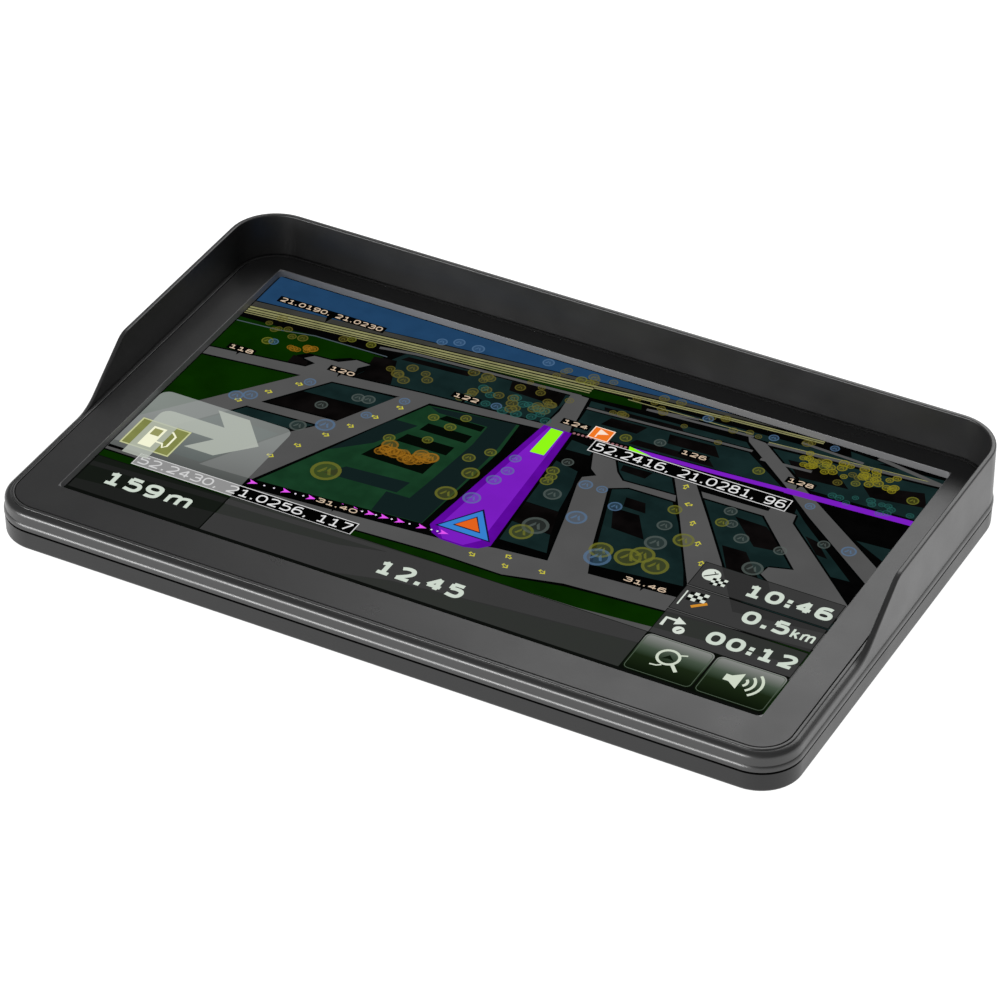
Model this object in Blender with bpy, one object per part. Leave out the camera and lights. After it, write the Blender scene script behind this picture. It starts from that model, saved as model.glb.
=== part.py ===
"""Portable navigator with a seven inch touch display and a sun visor moulded into its front frame.

The device lies on its back. +X runs along its length, +Y points to the visor's side and +Z points
out of the display. The origin is the middle of the outline, on the surface that it lies on.
Lengths are metres, and MM turns millimetres into metres.
"""
import math

import bmesh
import bpy
from mathutils import Matrix, Vector

MM = 0.001

# Driving dimensions, in millimetres
FACE_Z = 13.6                 # face plate's front above the back
PLATE_HALF = (85.40, 51.285)  # outline that the frame and the cover follow
PLATE_GAP = 0.12              # from that outline to the plate's own edge
PLATE_FRONT_R = 6.7           # corners away from the visor
PLATE_BACK_R = 8.5            # corners under the visor
PLATE_THICK = 1.2
FRAME_OUT = 2.34              # frame's lower bead beyond the plate's edge
FRAME_WALL_OUT = 2.08         # frame's upper wall and the visor's outer wall
FRAME_FOOT = 4.27             # frame's lower edge, below the face
COVER_OUT = 2.24              # rear cover's wall beyond the plate's edge
COVER_DROP = 4.85             # rear cover's rim below the face
VISOR_RISE = 9.72             # visor's top above the face
VISOR_TOE_Y = -16.6           # where the visor's side slope would meet the face
VISOR_CREST_Y = -2.0          # where that slope would meet the visor's level top
VISOR_TOE_R = 12.0
VISOR_CREST_R = 5.3
LEDGE_IN = -2.4
WINDOW_HALF = (77.70, 44.29)
WINDOW_Y = 1.925              # window's centre, off the plate's centre
WINDOW_R = 1.2
SCREEN_DROP = 1.75            # touch panel's surface below the face
MODULE_HALF = (81.5, 48.3)    # display module's outline
LEDGE_HALF = (83.0, 48.885)   # opening in the frame's ledge, round the module
LEDGE_R = 1.5
COVER_WALL = 1.5
SHOULDER_Z = 4.77             # where the rear cover's wall would meet its slope
SIDE_SLOPE = math.radians(55)
FRONT_SLOPE = math.radians(36)
CORNER_STEPS = 6

# Layers of the stack, bottom and top, in millimetres above the back
GASKET_Z = (11.97, 12.28)
TOUCH_Z = (10.75, FACE_Z - SCREEN_DROP)
CELL_Z = (9.4, 10.6)
BACKLIGHT_Z = (6.75, 9.25)
BRACKET_Z = (6.1, 6.6)
BOARD_Z = (4.3, 5.3)
CHIP_TOP = 4.15               # parts hang under the board, just clear of it
BATTERY_Z = (2.6, 5.8)
SPEAKER_Z = (2.6, 5.8)
SPEAKER_GASKET_Z = (1.95, 2.45)
CLOTH_Z = (1.62, 1.8)

# Places on the plan, in millimetres
CASE_SCREWS = [(x, y) for y in (-40, 40) for x in (-72, 72)]
BRACKET_SCREWS = [(x, y) for y in (-37, 37) for x in (-83.2, 83.2)]
BOARD_SCREWS = [(-74, -30), (4, -28), (-40, 42)]
BOARD_LOW, BOARD_HIGH = (-81.6, -34), (10, 46.6)
BUTTON_X, BUTTON_Z = -50, 6.05
BUTTON_HALF = (5.0, 1.1)      # key cap's half width and half height
BUTTON_FACE_Y = 53.6          # key cap's face
BUTTON_PLATE_Y = (49.0, 49.7)
DISH_Y = 53.05                # bottom of the dish round the key
SWITCH_Z = 3.05
JACK_Y, JACK_Z = 24, 3.8
USB_Y = 8
CARD_Y = -10
RESET_Y, RESET_Z = -24, 3.3
PORT_FACE_X = -83.1           # openings of the sockets
PORT_BAY_X = -85.2            # bottom of the bay that the ports open into
SPEAKER_XY = (50, 31)
GRILLE_SLOTS, GRILLE_PITCH = 7, 2.6
SEAT_HALF, SEAT_MIDDLE_Y = (32, 21), -3  # shallow seat for a cradle

# Drilled and threaded holes
PILOT_R = 0.85
BRACKET_HOLE_R = 0.9
BOARD_HOLE_R = 1.0
CASE_HOLE_R, CASE_HEAD_R = 1.25, 2.4


# Materials

def material(name, colour, roughness=0.5, metallic=0.0, alpha=1.0):
    found = bpy.data.materials.get(name)
    if found:
        return found
    made = bpy.data.materials.new(name)
    made.use_nodes = True
    shader = made.node_tree.nodes["Principled BSDF"]
    shader.inputs["Base Color"].default_value = (*colour, 1)
    shader.inputs["Roughness"].default_value = roughness
    shader.inputs["Metallic"].default_value = metallic
    shader.inputs["Alpha"].default_value = alpha
    return made


def frame_plastic():
    return material("frame_plastic", (0.030, 0.031, 0.033), 0.32)


def plate_plastic():
    return material("plate_plastic", (0.045, 0.045, 0.047), 0.40)


def cover_plastic():
    return material("cover_plastic", (0.022, 0.023, 0.025), 0.55)


def foam():
    return material("foam", (0.02, 0.02, 0.02), 0.95)


def panel_glass():
    return material("panel_glass", (0.05, 0.05, 0.06), 0.08)


def display_cell():
    return material("display_cell", (0.03, 0.05, 0.06), 0.15)


def pressed_steel():
    return material("pressed_steel", (0.62, 0.63, 0.64), 0.35, 1.0)


def screw_steel():
    return material("screw_steel", (0.12, 0.12, 0.13), 0.35, 1.0)


def laminate():
    return material("board_laminate", (0.02, 0.14, 0.07), 0.45)


def chip_resin():
    return material("chip_resin", (0.03, 0.03, 0.03), 0.6)


def white_plastic():
    return material("white_plastic", (0.75, 0.74, 0.70), 0.5)


def ribbon_film():
    return material("ribbon_film", (0.45, 0.22, 0.06), 0.4)


# Outlines and paths, all in millimetres

def fillet(before, corner, after, radius, steps):
    """Points of the arc that rounds a path's corner."""
    if radius <= 0:
        return [corner]
    back, onward = (before - corner).normalized(), (after - corner).normalized()
    half = back.angle(onward) / 2
    centre = corner + (back + onward).normalized() * radius / math.sin(half)
    first = corner + back * radius / math.tan(half) - centre
    last = corner + onward * radius / math.tan(half) - centre
    turn = math.atan2(first.x * last.y - first.y * last.x, first.dot(last))
    points = []
    for step in range(steps + 1):
        angle = turn * step / steps
        spin = Matrix(((math.cos(angle), -math.sin(angle)), (math.sin(angle), math.cos(angle))))
        points.append(centre + spin @ first)
    return points


def rounded_path(corners, closed=False):
    """An open or closed path through corners (a, b, radius, steps) with each corner rounded."""
    places = [Vector(corner[:2]) for corner in corners]
    count = len(corners)
    points = []
    for index, corner in enumerate(corners):
        at_end = not closed and index in (0, count - 1)
        if at_end or len(corner) < 4:
            points.append(places[index])
        else:
            points += fillet(places[index - 1], places[index], places[(index + 1) % count], *corner[2:])
    return points


def outline(half_x, y_front, y_back, r_front, r_back, stops=(), steps=CORNER_STEPS):
    """Points and outward directions round a rectangle with rounded corners, counter-clockwise.

    Both long sides get one more point at each y in stops.
    """
    corners = [
        (half_x - r_front, y_front + r_front, r_front, -90),
        (half_x - r_back, y_back - r_back, r_back, 0),
        (r_back - half_x, y_back - r_back, r_back, 90),
        (r_front - half_x, y_front + r_front, r_front, 180),
    ]
    points = []
    for index, (x, y, radius, start) in enumerate(corners):
        for step in range(steps + 1):
            angle = math.radians(start + 90 * step / steps)
            away = Vector((math.cos(angle), math.sin(angle)))
            points.append((Vector((x, y)) + away * radius, away))
        if index == 0:
            points += [(Vector((half_x, y)), Vector((1, 0))) for y in stops]
        if index == 2:
            points += [(Vector((-half_x, y)), Vector((-1, 0))) for y in reversed(stops)]
    return points


def plate_outline(stops=()):
    half_x, half_y = PLATE_HALF
    return outline(half_x, -half_y, half_y, PLATE_FRONT_R, PLATE_BACK_R, stops)


def flat_loop(points, z):
    return [Vector((place.x, place.y, z)) for place, away in points]


def window_loop(grow, z):
    """The window's outline, grown outward, at one height."""
    half_x, half_y = WINDOW_HALF[0] + grow, WINDOW_HALF[1] + grow
    radius = WINDOW_R + grow
    return flat_loop(outline(half_x, WINDOW_Y - half_y, WINDOW_Y + half_y, radius, radius), z)


def grown_loop(grow, z, stops=()):
    """The plate's outline, grown outward, at one height."""
    return [Vector((*(place + away * grow), z)) for place, away in plate_outline(stops)]


# Mesh building

def loft(bm, loops, closed=False):
    """Joins loops of points that match one to one. An open stack of loops gets both ends capped."""
    rows = [[bm.verts.new(point) for point in loop] for loop in loops]
    pairs = list(zip(rows, rows[1:] + rows[:1])) if closed else list(zip(rows, rows[1:]))
    for lower, upper in pairs:
        for index in range(len(lower)):
            after = (index + 1) % len(lower)
            bm.faces.new((lower[index], lower[after], upper[after], upper[index]))
    if not closed:
        bm.faces.new(rows[0])
        bm.faces.new(rows[-1])


def add_box(bm, low, high, bevel=0.0):
    low, high = Vector(low), Vector(high)
    made = bmesh.ops.create_cube(bm, size=1)
    for vert in made["verts"]:
        vert.co = (low + high) / 2 + vert.co * (high - low)
    if bevel:
        edges = {edge for vert in made["verts"] for edge in vert.link_edges}
        bmesh.ops.bevel(bm, geom=list(edges), offset=bevel, segments=2, profile=0.5, affect="EDGES")


def add_turned(bm, base, axis, profile, sides=16):
    """A turned body: profile lists (radius, distance along axis) from base."""
    turn = Vector((0, 0, 1)).rotation_difference(Vector(axis))
    loops = []
    for radius, along in profile:
        ring = [2 * math.pi * (side + 0.5) / sides for side in range(sides)]
        loops.append([
            Vector(base) + turn @ Vector((radius * math.cos(a), radius * math.sin(a), along))
            for a in ring
        ])
    loft(bm, loops)


def add_drill(bm, base, axis, radius, depth, sides=16):
    """A plain round body, for a hole or a boss."""
    add_turned(bm, base, axis, [(radius, 0), (radius, depth)], sides)


def add_prism(bm, corners, axis, low, high):
    """A prism over corners in the plane across axis 'x' or 'y'. Corners are (y, z) or (x, z)."""
    if axis == "x":
        ends = [[Vector((at, a, b)) for a, b in corners] for at in (low, high)]
    else:
        ends = [[Vector((a, at, b)) for a, b in corners] for at in (low, high)]
    loft(bm, ends)


def slab(bm, half, z, radius, edge=0.1):
    """A flat sheet with rounded corners and slightly broken edges."""
    loops = []
    for inset, height in ((edge, z[0]), (0, z[0] + edge), (0, z[1] - edge), (edge, z[1])):
        half_x, half_y = half[0] - inset, half[1] - inset
        loops.append(flat_loop(outline(half_x, -half_y, half_y, radius, radius, steps=3), height))
    loft(bm, loops)


def to_object(name, bm, origin=(0, 0, 0)):
    bmesh.ops.recalc_face_normals(bm, faces=bm.faces)
    bmesh.ops.translate(bm, verts=bm.verts, vec=-Vector(origin))
    bmesh.ops.scale(bm, verts=bm.verts, vec=Vector((MM, MM, MM)))
    mesh = bpy.data.meshes.new(name)
    bm.to_mesh(mesh)
    bm.free()
    mesh.shade_smooth()
    mesh.set_sharp_from_angle(angle=math.radians(32))
    made = bpy.data.objects.new(name, mesh)
    made.location = Vector(origin) * MM
    bpy.context.collection.objects.link(made)
    return made


def piece(name, bm, finish, origin=(0, 0, 0)):
    made = to_object(name, bm, origin)
    made.data.materials.append(finish)
    return made


def shape(target, name, bm, operation):
    """Adds or cuts away the guide body that bm holds."""
    guide = to_object(name, bm)
    guide.hide_render = True
    guide.display_type = "WIRE"
    modifier = target.modifiers.new(name, "BOOLEAN")
    modifier.operation = operation
    modifier.object = guide
    modifier.solver = "EXACT"


# Front: frame with visor, face plate and gasket

def visor_line():
    """The visor's side line: (y, rise above the face) from its toe to its crest."""
    half_y = PLATE_HALF[1]
    return rounded_path([
        (-half_y, 0),
        (VISOR_TOE_Y, 0, VISOR_TOE_R, 6),
        (VISOR_CREST_Y, VISOR_RISE, VISOR_CREST_R, 4),
        (half_y, VISOR_RISE),
    ])[1:-1]


def visor_rise(y):
    """The frame's top above the face at y."""
    line = visor_line()
    if y <= line[0].x:
        return 0.0
    for start, end in zip(line, line[1:]):
        if y <= end.x:
            return start.y + (end.y - start.y) * (y - start.x) / (end.x - start.x)
    return VISOR_RISE


def frame_section(rise):
    """The frame's closed section: (distance beyond the plate's edge, height above the face).

    LEDGE_IN stands for the edge of the ledge's opening.
    """
    visor_share = rise / VISOR_RISE
    drop, lip_out = -0.22, 0.7
    top = rise + drop * (1 - visor_share)
    outer_r = 1.1 - 0.65 * visor_share
    inner_r = 0.05 + 0.22 * min(1.0, rise / 2)
    bead_r, bead_top = 1.05, -2.45
    skirt_in, tongue_out = -0.4, 0.5
    seat, ledge, tongue = -1.35, -2.35, -5.7
    shoulder = math.asin(1 - (FRAME_OUT - FRAME_WALL_OUT) / bead_r)
    turns = [math.pi / 2 + (shoulder - math.pi / 2) * step / 3 for step in range(4)]
    bead = [
        (FRAME_OUT - bead_r * (1 - math.sin(turn)), bead_top - bead_r * (1 - math.cos(turn)))
        for turn in turns
    ]
    return rounded_path([
        (FRAME_OUT, -FRAME_FOOT),
        *bead,
        (FRAME_WALL_OUT, top, outer_r, 4),
        (0.95 + 0.05 * visor_share, top, inner_r, 2),
        (0.9, drop - 0.03),
        (lip_out + 0.02, drop - 0.03),
        (lip_out, 0.0, 0.2, 2),
        (0.03, 0.0, 0.1, 1),
        (0.03, seat),
        (LEDGE_IN, seat),
        (LEDGE_IN, ledge),
        (skirt_in, ledge),
        (skirt_in, tongue),
        (tongue_out, tongue),
        (tongue_out, -FRAME_FOOT),
    ], closed=True)


def front_frame():
    stops = [point.x for point in visor_line()]
    edge = plate_outline(stops)
    half_x, half_y = LEDGE_HALF
    opening = outline(half_x, -half_y, half_y, LEDGE_R, LEDGE_R, stops)
    sections = [frame_section(visor_rise(place.y)) for place, away in edge]
    bm = bmesh.new()
    loops = []
    for index in range(len(sections[0])):
        loop = []
        for (place, away), (inner, _), section in zip(edge, opening, sections):
            out, height = section[index]
            flat = inner if abs(out - LEDGE_IN) < 0.01 else place + away * out
            loop.append(Vector((*flat, FACE_Z + height)))
        loops.append(loop)
    loft(bm, loops, closed=True)
    frame = piece("front_frame", bm, frame_plastic())
    posts, pilots = bmesh.new(), bmesh.new()
    post_in, post_out, post_half, post_top = 81.8, 85.5, 2.0, 11.6
    for x, y in BRACKET_SCREWS:
        side = math.copysign(1, x)
        low_x, high_x = sorted((side * post_in, side * post_out))
        add_box(posts, (low_x, y - post_half, BACKLIGHT_Z[0]), (high_x, y + post_half, post_top))
        add_drill(pilots, (x, y, 6), (0, 0, 1), PILOT_R, 4, 10)
    shape(frame, "frame_posts", posts, "UNION")
    shape(frame, "frame_pilots", pilots, "DIFFERENCE")


def face_plate():
    """The flat plate round the window, with a skirt that reaches down to the touch panel."""
    under = FACE_Z - PLATE_THICK
    foot = FACE_Z - SCREEN_DROP + 0.1
    edge, lip, skirt = 0.15, 0.12, 0.8
    bm = bmesh.new()
    loft(bm, [
        grown_loop(-PLATE_GAP, under),
        grown_loop(-PLATE_GAP, FACE_Z - edge),
        grown_loop(-PLATE_GAP - edge, FACE_Z),
        window_loop(lip, FACE_Z),
        window_loop(0.0, FACE_Z - lip),
        window_loop(0.0, foot),
        window_loop(skirt, foot),
        window_loop(skirt, under),
    ], closed=True)
    piece("face_plate", bm, plate_plastic())


def panel_gasket():
    """The foam frame between the face plate and the touch panel."""
    inner = outline(78.75, -43.4, 47.25, 2, 2, steps=2)
    outer = outline(81.2, -48.0, 48.2, 2, 2, steps=2)
    low, high = GASKET_Z
    bm = bmesh.new()
    loops = [flat_loop(outer, low), flat_loop(outer, high), flat_loop(inner, high), flat_loop(inner, low)]
    loft(bm, loops, closed=True)
    piece("panel_gasket", bm, foam())


# Display module and the bracket that holds it

def display_module():
    half_x, half_y = MODULE_HALF
    layers = [
        ("touch_panel", (half_x, half_y), TOUCH_Z, panel_glass()),
        ("display_panel", (half_x - 0.3, half_y - 0.3), CELL_Z, display_cell()),
        ("backlight_unit", (half_x - 0.3, half_y - 0.3), BACKLIGHT_Z, pressed_steel()),
    ]
    for name, half, z, finish in layers:
        bm = bmesh.new()
        slab(bm, half, z, 1.0)
        piece(name, bm, finish)


def display_bracket():
    """The pressed plate behind the display. It carries the main board and takes the case screws."""
    bm = bmesh.new()
    slab(bm, MODULE_HALF, BRACKET_Z, 1.5)
    bracket = piece("display_bracket", bm, pressed_steel())
    low, high = BRACKET_Z
    up = (0, 0, 1)
    ear_x, ear_half = (80.0, 84.6), 2.5
    rim_x, rim_half = (81.2, 82.3), 22.0
    flange_x, flange_half, flange_top = (81.75, 82.25), 21.5, 10.9
    case_boss_r, case_boss_z = 2.2, 4.75
    board_boss_r, board_boss_z = 2.0, 5.45
    added, flanges, holes = bmesh.new(), bmesh.new(), bmesh.new()
    for x, y in BRACKET_SCREWS:
        side = math.copysign(1, x)
        low_x, high_x = sorted(side * at for at in ear_x)
        add_box(added, (low_x, y - ear_half, low), (high_x, y + ear_half, high))
        add_drill(holes, (x, y, 5), up, BRACKET_HOLE_R, 3, 10)
    for side in (-1, 1):
        low_x, high_x = sorted(side * at for at in rim_x)
        add_box(added, (low_x, -rim_half, low), (high_x, rim_half, high))
        low_x, high_x = sorted(side * at for at in flange_x)
        add_box(flanges, (low_x, -flange_half, low + 0.1), (high_x, flange_half, flange_top))
    for x, y in CASE_SCREWS:
        add_drill(added, (x, y, case_boss_z), up, case_boss_r, 1.6, 12)
        add_drill(holes, (x, y, 4), up, case_boss_r / 2, 3, 12)
    for x, y in BOARD_SCREWS:
        add_drill(added, (x, y, board_boss_z), up, board_boss_r, 0.9, 12)
        add_drill(holes, (x, y, 5), up, BRACKET_HOLE_R, 2, 12)
    shape(bracket, "bracket_bosses", added, "UNION")
    shape(bracket, "bracket_flanges", flanges, "UNION")
    shape(bracket, "bracket_holes", holes, "DIFFERENCE")


# Rear cover

def cover_path(slope, wall, radii):
    """Half of the cover's section, from its rim to its back: (inset, height).

    wall is 0 for the outer face and the wall's thickness for the inner one.
    """
    rim = FACE_Z - COVER_DROP
    draft = 0.1
    knee = SHOULDER_Z + wall / math.cos(slope) - wall * math.tan(slope)
    run = (knee - wall) / math.tan(slope)
    corners = [
        (wall, rim),
        (wall + draft, knee, radii[0], 3),
        (wall + draft + run, wall, radii[1], 4),
        (wall + draft + run + 10, wall),
    ]
    return rounded_path(corners)[:-1]


def cover_loops(wall, radii):
    """Loops down the cover's outer or inner face. The slope is flatter along the front."""
    half_x, half_y = PLATE_HALF[0] + COVER_OUT, PLATE_HALF[1] + COVER_OUT
    front_r, back_r = PLATE_FRONT_R + COVER_OUT, PLATE_BACK_R + COVER_OUT
    loops = []
    for side, front in zip(cover_path(SIDE_SLOPE, wall, radii), cover_path(FRONT_SLOPE, wall, radii)):
        points = outline(
            half_x - side.x, front.x - half_y, half_y - side.x, front_r - side.x, back_r - side.x
        )
        loop = []
        for place, away in points:
            facing_front = max(0.0, -away.y) ** 2
            height = side.y + (front.y - side.y) * facing_front
            loop.append(Vector((place.x, place.y, height)))
        loops.append(loop)
    return loops


def rear_cover():
    outer = cover_loops(0.0, (1.0, 4.0))
    inner = cover_loops(COVER_WALL, (0.3, 2.5))
    bm = bmesh.new()
    loft(bm, inner[::-1] + outer)
    cover = piece("rear_cover", bm, cover_plastic())
    shape(cover, "cover_bosses", cover_bosses(), "UNION")
    shape(cover, "cover_recesses", cover_recesses(), "DIFFERENCE")
    shape(cover, "cover_holes", cover_holes(), "DIFFERENCE")


def cover_bosses():
    """Screw posts, thicker walls behind the ports and the button, and the cradle's thicker seat."""
    bm = bmesh.new()
    post_r, post_z, post_height = 3.2, 1.0, 3.6
    for x, y in CASE_SCREWS:
        add_drill(bm, (x, y, post_z), (0, 0, 1), post_r, post_height)
    low, knee, high = 0.8, 4.6, 7.7
    ports = [(-83.4, low), (-84.3, low), (-86.8, knee), (-86.8, high), (-83.4, high)]
    add_prism(bm, ports, "y", -31, 32)
    button = [(50.0, low), (50.3, low), (52.8, knee), (52.8, high), (50.0, high)]
    add_prism(bm, button, "x", BUTTON_X - 9, BUTTON_X + 9)
    half_x, half_y = SEAT_HALF[0] + 1, SEAT_HALF[1] + 1
    add_box(bm, (-half_x, SEAT_MIDDLE_Y - half_y, 1.0), (half_x, SEAT_MIDDLE_Y + half_y, 2.4))
    return bm


def cover_recesses():
    """The shallow seat for a cradle, the bay that the ports open into and the button's dish."""
    bm = bmesh.new()
    half_x, half_y = SEAT_HALF
    seat_depth, seat_r = 0.4, 4
    seat = outline(half_x, SEAT_MIDDLE_Y - half_y, SEAT_MIDDLE_Y + half_y, seat_r, seat_r, steps=3)
    loft(bm, [flat_loop(seat, -1), flat_loop(seat, seat_depth)])
    add_box(bm, (-90, -29.5, -1), (PORT_BAY_X, 30.5, 6.6))
    dish_half = 8.5
    add_box(bm, (BUTTON_X - dish_half, DISH_Y, 4.6), (BUTTON_X + dish_half, 55, 7.5))
    return bm


def cover_holes():
    """Holes for the screws, the cradle's hooks, the sound, the ports and the power key."""
    bm = bmesh.new()
    head_depth = 3.4
    bore = [(CASE_HEAD_R, 0), (CASE_HEAD_R, head_depth), (CASE_HOLE_R, head_depth), (CASE_HOLE_R, 7)]
    for x, y in CASE_SCREWS:
        add_turned(bm, (x, y, -1), (0, 0, 1), bore)
    hook_half_x, hook_half_y, hook_depth = 4.5, 1.2, 1.7
    for x in (-22, 22):
        for y in (-16, 10):
            low = (x - hook_half_x, y - hook_half_y, -1)
            add_box(bm, low, (x + hook_half_x, y + hook_half_y, hook_depth))
    x, y = SPEAKER_XY
    slot_half_x, slot_half_y = 8, 0.65
    for number in range(GRILLE_SLOTS):
        middle = y + (number - (GRILLE_SLOTS - 1) / 2) * GRILLE_PITCH
        slot = outline(slot_half_x, -slot_half_y, slot_half_y, 0.64, 0.64, steps=2)
        shifted = [(place + Vector((x, middle)), away) for place, away in slot]
        loft(bm, [flat_loop(shifted, -1), flat_loop(shifted, 3)])
    outside, inside = -86, -83
    add_box(bm, (outside, USB_Y - 4.1, 1.65), (inside, USB_Y + 4.1, 4.35))
    add_box(bm, (outside, CARD_Y - 6.2, 2.7), (inside, CARD_Y + 6.2, 4.05))
    add_drill(bm, (outside, JACK_Y, JACK_Z), (1, 0, 0), 2.6, inside - outside)
    add_drill(bm, (outside, RESET_Y, RESET_Z), (1, 0, 0), 0.6, inside - outside, 8)
    half_x, half_z = BUTTON_HALF[0] + 0.25, BUTTON_HALF[1] + 0.15
    add_box(bm, (BUTTON_X - half_x, 49, BUTTON_Z - half_z), (BUTTON_X + half_x, 55, BUTTON_Z + half_z))
    return bm


# Power key and the switches

def power_button():
    """The key: a cap through the cover, a plate that stops it and a finger that reaches its switch."""
    x = BUTTON_X
    cap_x, cap_z = BUTTON_HALF
    plate_back, plate_front = BUTTON_PLATE_Y
    plate_x, finger_x, finger_z = 6.5, 1.2, 0.5
    cap, plate, finger = bmesh.new(), bmesh.new(), bmesh.new()
    cap_low = (x - cap_x, plate_front - 0.3, BUTTON_Z - cap_z)
    add_box(cap, cap_low, (x + cap_x, BUTTON_FACE_Y, BUTTON_Z + cap_z), 0.25)
    key = piece("power_button", cap, frame_plastic(), (x, BUTTON_FACE_Y, BUTTON_Z))
    add_box(plate, (x - plate_x, plate_back, 2.4), (x + plate_x, plate_front, 7.5))
    finger_low = (x - finger_x, 47.2, SWITCH_Z - finger_z)
    add_box(finger, finger_low, (x + finger_x, plate_back + 0.2, SWITCH_Z + finger_z))
    shape(key, "key_plate", plate, "UNION")
    shape(key, "key_finger", finger, "UNION")


def power_switch():
    """The switch behind the power key, with its own sprung plunger."""
    bm, pocket, plunger = bmesh.new(), bmesh.new(), bmesh.new()
    x = BUTTON_X
    add_box(bm, (x - 2.6, 42.4, 1.9), (x + 2.6, 46.2, CHIP_TOP))
    housing = piece("power_switch", bm, pressed_steel())
    add_box(pocket, (x - 1.45, 44.0, SWITCH_Z - 0.8), (x + 1.45, 47, SWITCH_Z + 0.8))
    shape(housing, "power_switch_pocket", pocket, "DIFFERENCE")
    add_box(plunger, (x - 1.2, 44.6, SWITCH_Z - 0.55), (x + 1.2, 47.0, SWITCH_Z + 0.55), 0.1)
    piece("power_switch_plunger", plunger, white_plastic(), (x, 47.0, SWITCH_Z))


def reset_switch():
    """The small switch behind the pin hole."""
    bm, pocket, plunger = bmesh.new(), bmesh.new(), bmesh.new()
    y, z = RESET_Y, RESET_Z
    add_box(bm, (-82.9, y - 2, 2.4), (-79.4, y + 2, CHIP_TOP))
    housing = piece("reset_switch", bm, pressed_steel())
    add_box(pocket, (-84, y - 0.95, z - 0.6), (-80.8, y + 0.95, z + 0.6))
    shape(housing, "reset_switch_pocket", pocket, "DIFFERENCE")
    add_box(plunger, (-83.15, y - 0.7, z - 0.35), (-81.3, y + 0.7, z + 0.35), 0.08)
    piece("reset_plunger", plunger, white_plastic(), (-83.15, y, z))


# Main board and what it carries

def main_board():
    """The board, with a notch for the audio jack and holes for the screws and a case post."""
    bm = bmesh.new()
    low, high = BOARD_Z
    add_box(bm, (*BOARD_LOW, low), (*BOARD_HIGH, high))
    board = piece("main_board", bm, laminate())
    notches, holes = bmesh.new(), bmesh.new()
    notch_half = 3.4
    add_box(notches, (-83, JACK_Y - notch_half, 3), (-70.2, JACK_Y + notch_half, 6))
    add_drill(holes, (-72, 40, 3), (0, 0, 1), 3.6, 3)
    for x, y in BOARD_SCREWS:
        add_drill(holes, (x, y, 3), (0, 0, 1), BOARD_HOLE_R, 3, 10)
    shape(board, "board_notch", notches, "DIFFERENCE")
    shape(board, "board_holes", holes, "DIFFERENCE")


def board_chips():
    chips = [
        ("processor_chip", (-40, 6), (17, 17), 1.2),
        ("memory_chip_1", (-40, -12), (12, 9), 1.0),
        ("memory_chip_2", (-22, 4), (9, 12), 1.0),
        ("storage_chip", (-20, -14), (18, 12), 1.1),
        ("power_chip", (-58, -24), (7, 7), 0.9),
        ("audio_chip", (-58, 28), (5, 5), 0.9),
    ]
    for name, (x, y), (wide, deep), thick in chips:
        bm = bmesh.new()
        low = (x - wide / 2, y - deep / 2, CHIP_TOP - thick)
        add_box(bm, low, (x + wide / 2, y + deep / 2, CHIP_TOP), 0.1)
        piece(name, bm, chip_resin())


def shield_can():
    """The tinned box over the receiver, open towards the board."""
    bm, hollow = bmesh.new(), bmesh.new()
    add_box(bm, (-32, 24, 2.6), (-12, 40, CHIP_TOP), 0.15)
    can = piece("shield_can", bm, pressed_steel())
    add_box(hollow, (-31.7, 24.3, 2.85), (-12.3, 39.7, 5))
    shape(can, "shield_hollow", hollow, "DIFFERENCE")


def receiver_chip():
    bm = bmesh.new()
    add_box(bm, (-26, 29, 3.2), (-18, 37, CHIP_TOP - 0.1), 0.1)
    piece("receiver_chip", bm, chip_resin())


def gps_antenna():
    """The ceramic patch with its silvered face towards the back."""
    bm = bmesh.new()
    add_box(bm, (-8, 27, 2.35), (10, 45, CHIP_TOP), 0.2)
    piece("antenna_patch", bm, material("patch_ceramic", (0.72, 0.66, 0.52), 0.6))
    face = bmesh.new()
    add_box(face, (-6, 29, 2.1), (8, 43, 2.25))
    piece("antenna_foil", face, material("silver_foil", (0.8, 0.8, 0.78), 0.3, 1.0))


def usb_socket():
    """The charging socket, with the tongue inside its shell."""
    bm, cavity, tongue = bmesh.new(), bmesh.new(), bmesh.new()
    y = USB_Y
    add_box(bm, (PORT_FACE_X, y - 3.75, 1.85), (-77.6, y + 3.75, CHIP_TOP), 0.3)
    socket = piece("usb_socket", bm, pressed_steel())
    add_box(cavity, (-84, y - 3.4, 2.2), (-78.2, y + 3.4, 3.8))
    add_box(tongue, (-82.7, y - 1.9, 2.65), (-78.0, y + 1.9, 3.15))
    shape(socket, "usb_cavity", cavity, "DIFFERENCE")
    shape(socket, "usb_tongue", tongue, "UNION")


def card_socket():
    """The memory card's socket, and the sprung slider that the card pushes."""
    bm, channel, slider = bmesh.new(), bmesh.new(), bmesh.new()
    y = CARD_Y
    add_box(bm, (PORT_FACE_X, y - 7.2, 2.5), (-68.6, y + 7.2, CHIP_TOP))
    socket = piece("card_socket", bm, pressed_steel())
    add_box(channel, (-84, y - 5.8, 2.8), (-70.0, y + 5.8, 3.9))
    shape(socket, "card_channel", channel, "DIFFERENCE")
    add_box(slider, (-75.5, y + 3.7, 3.0), (-71.6, y + 5.5, 3.7), 0.1)
    piece("card_slider", slider, chip_resin(), (-75.5, y + 4.6, 3.35))


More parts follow.
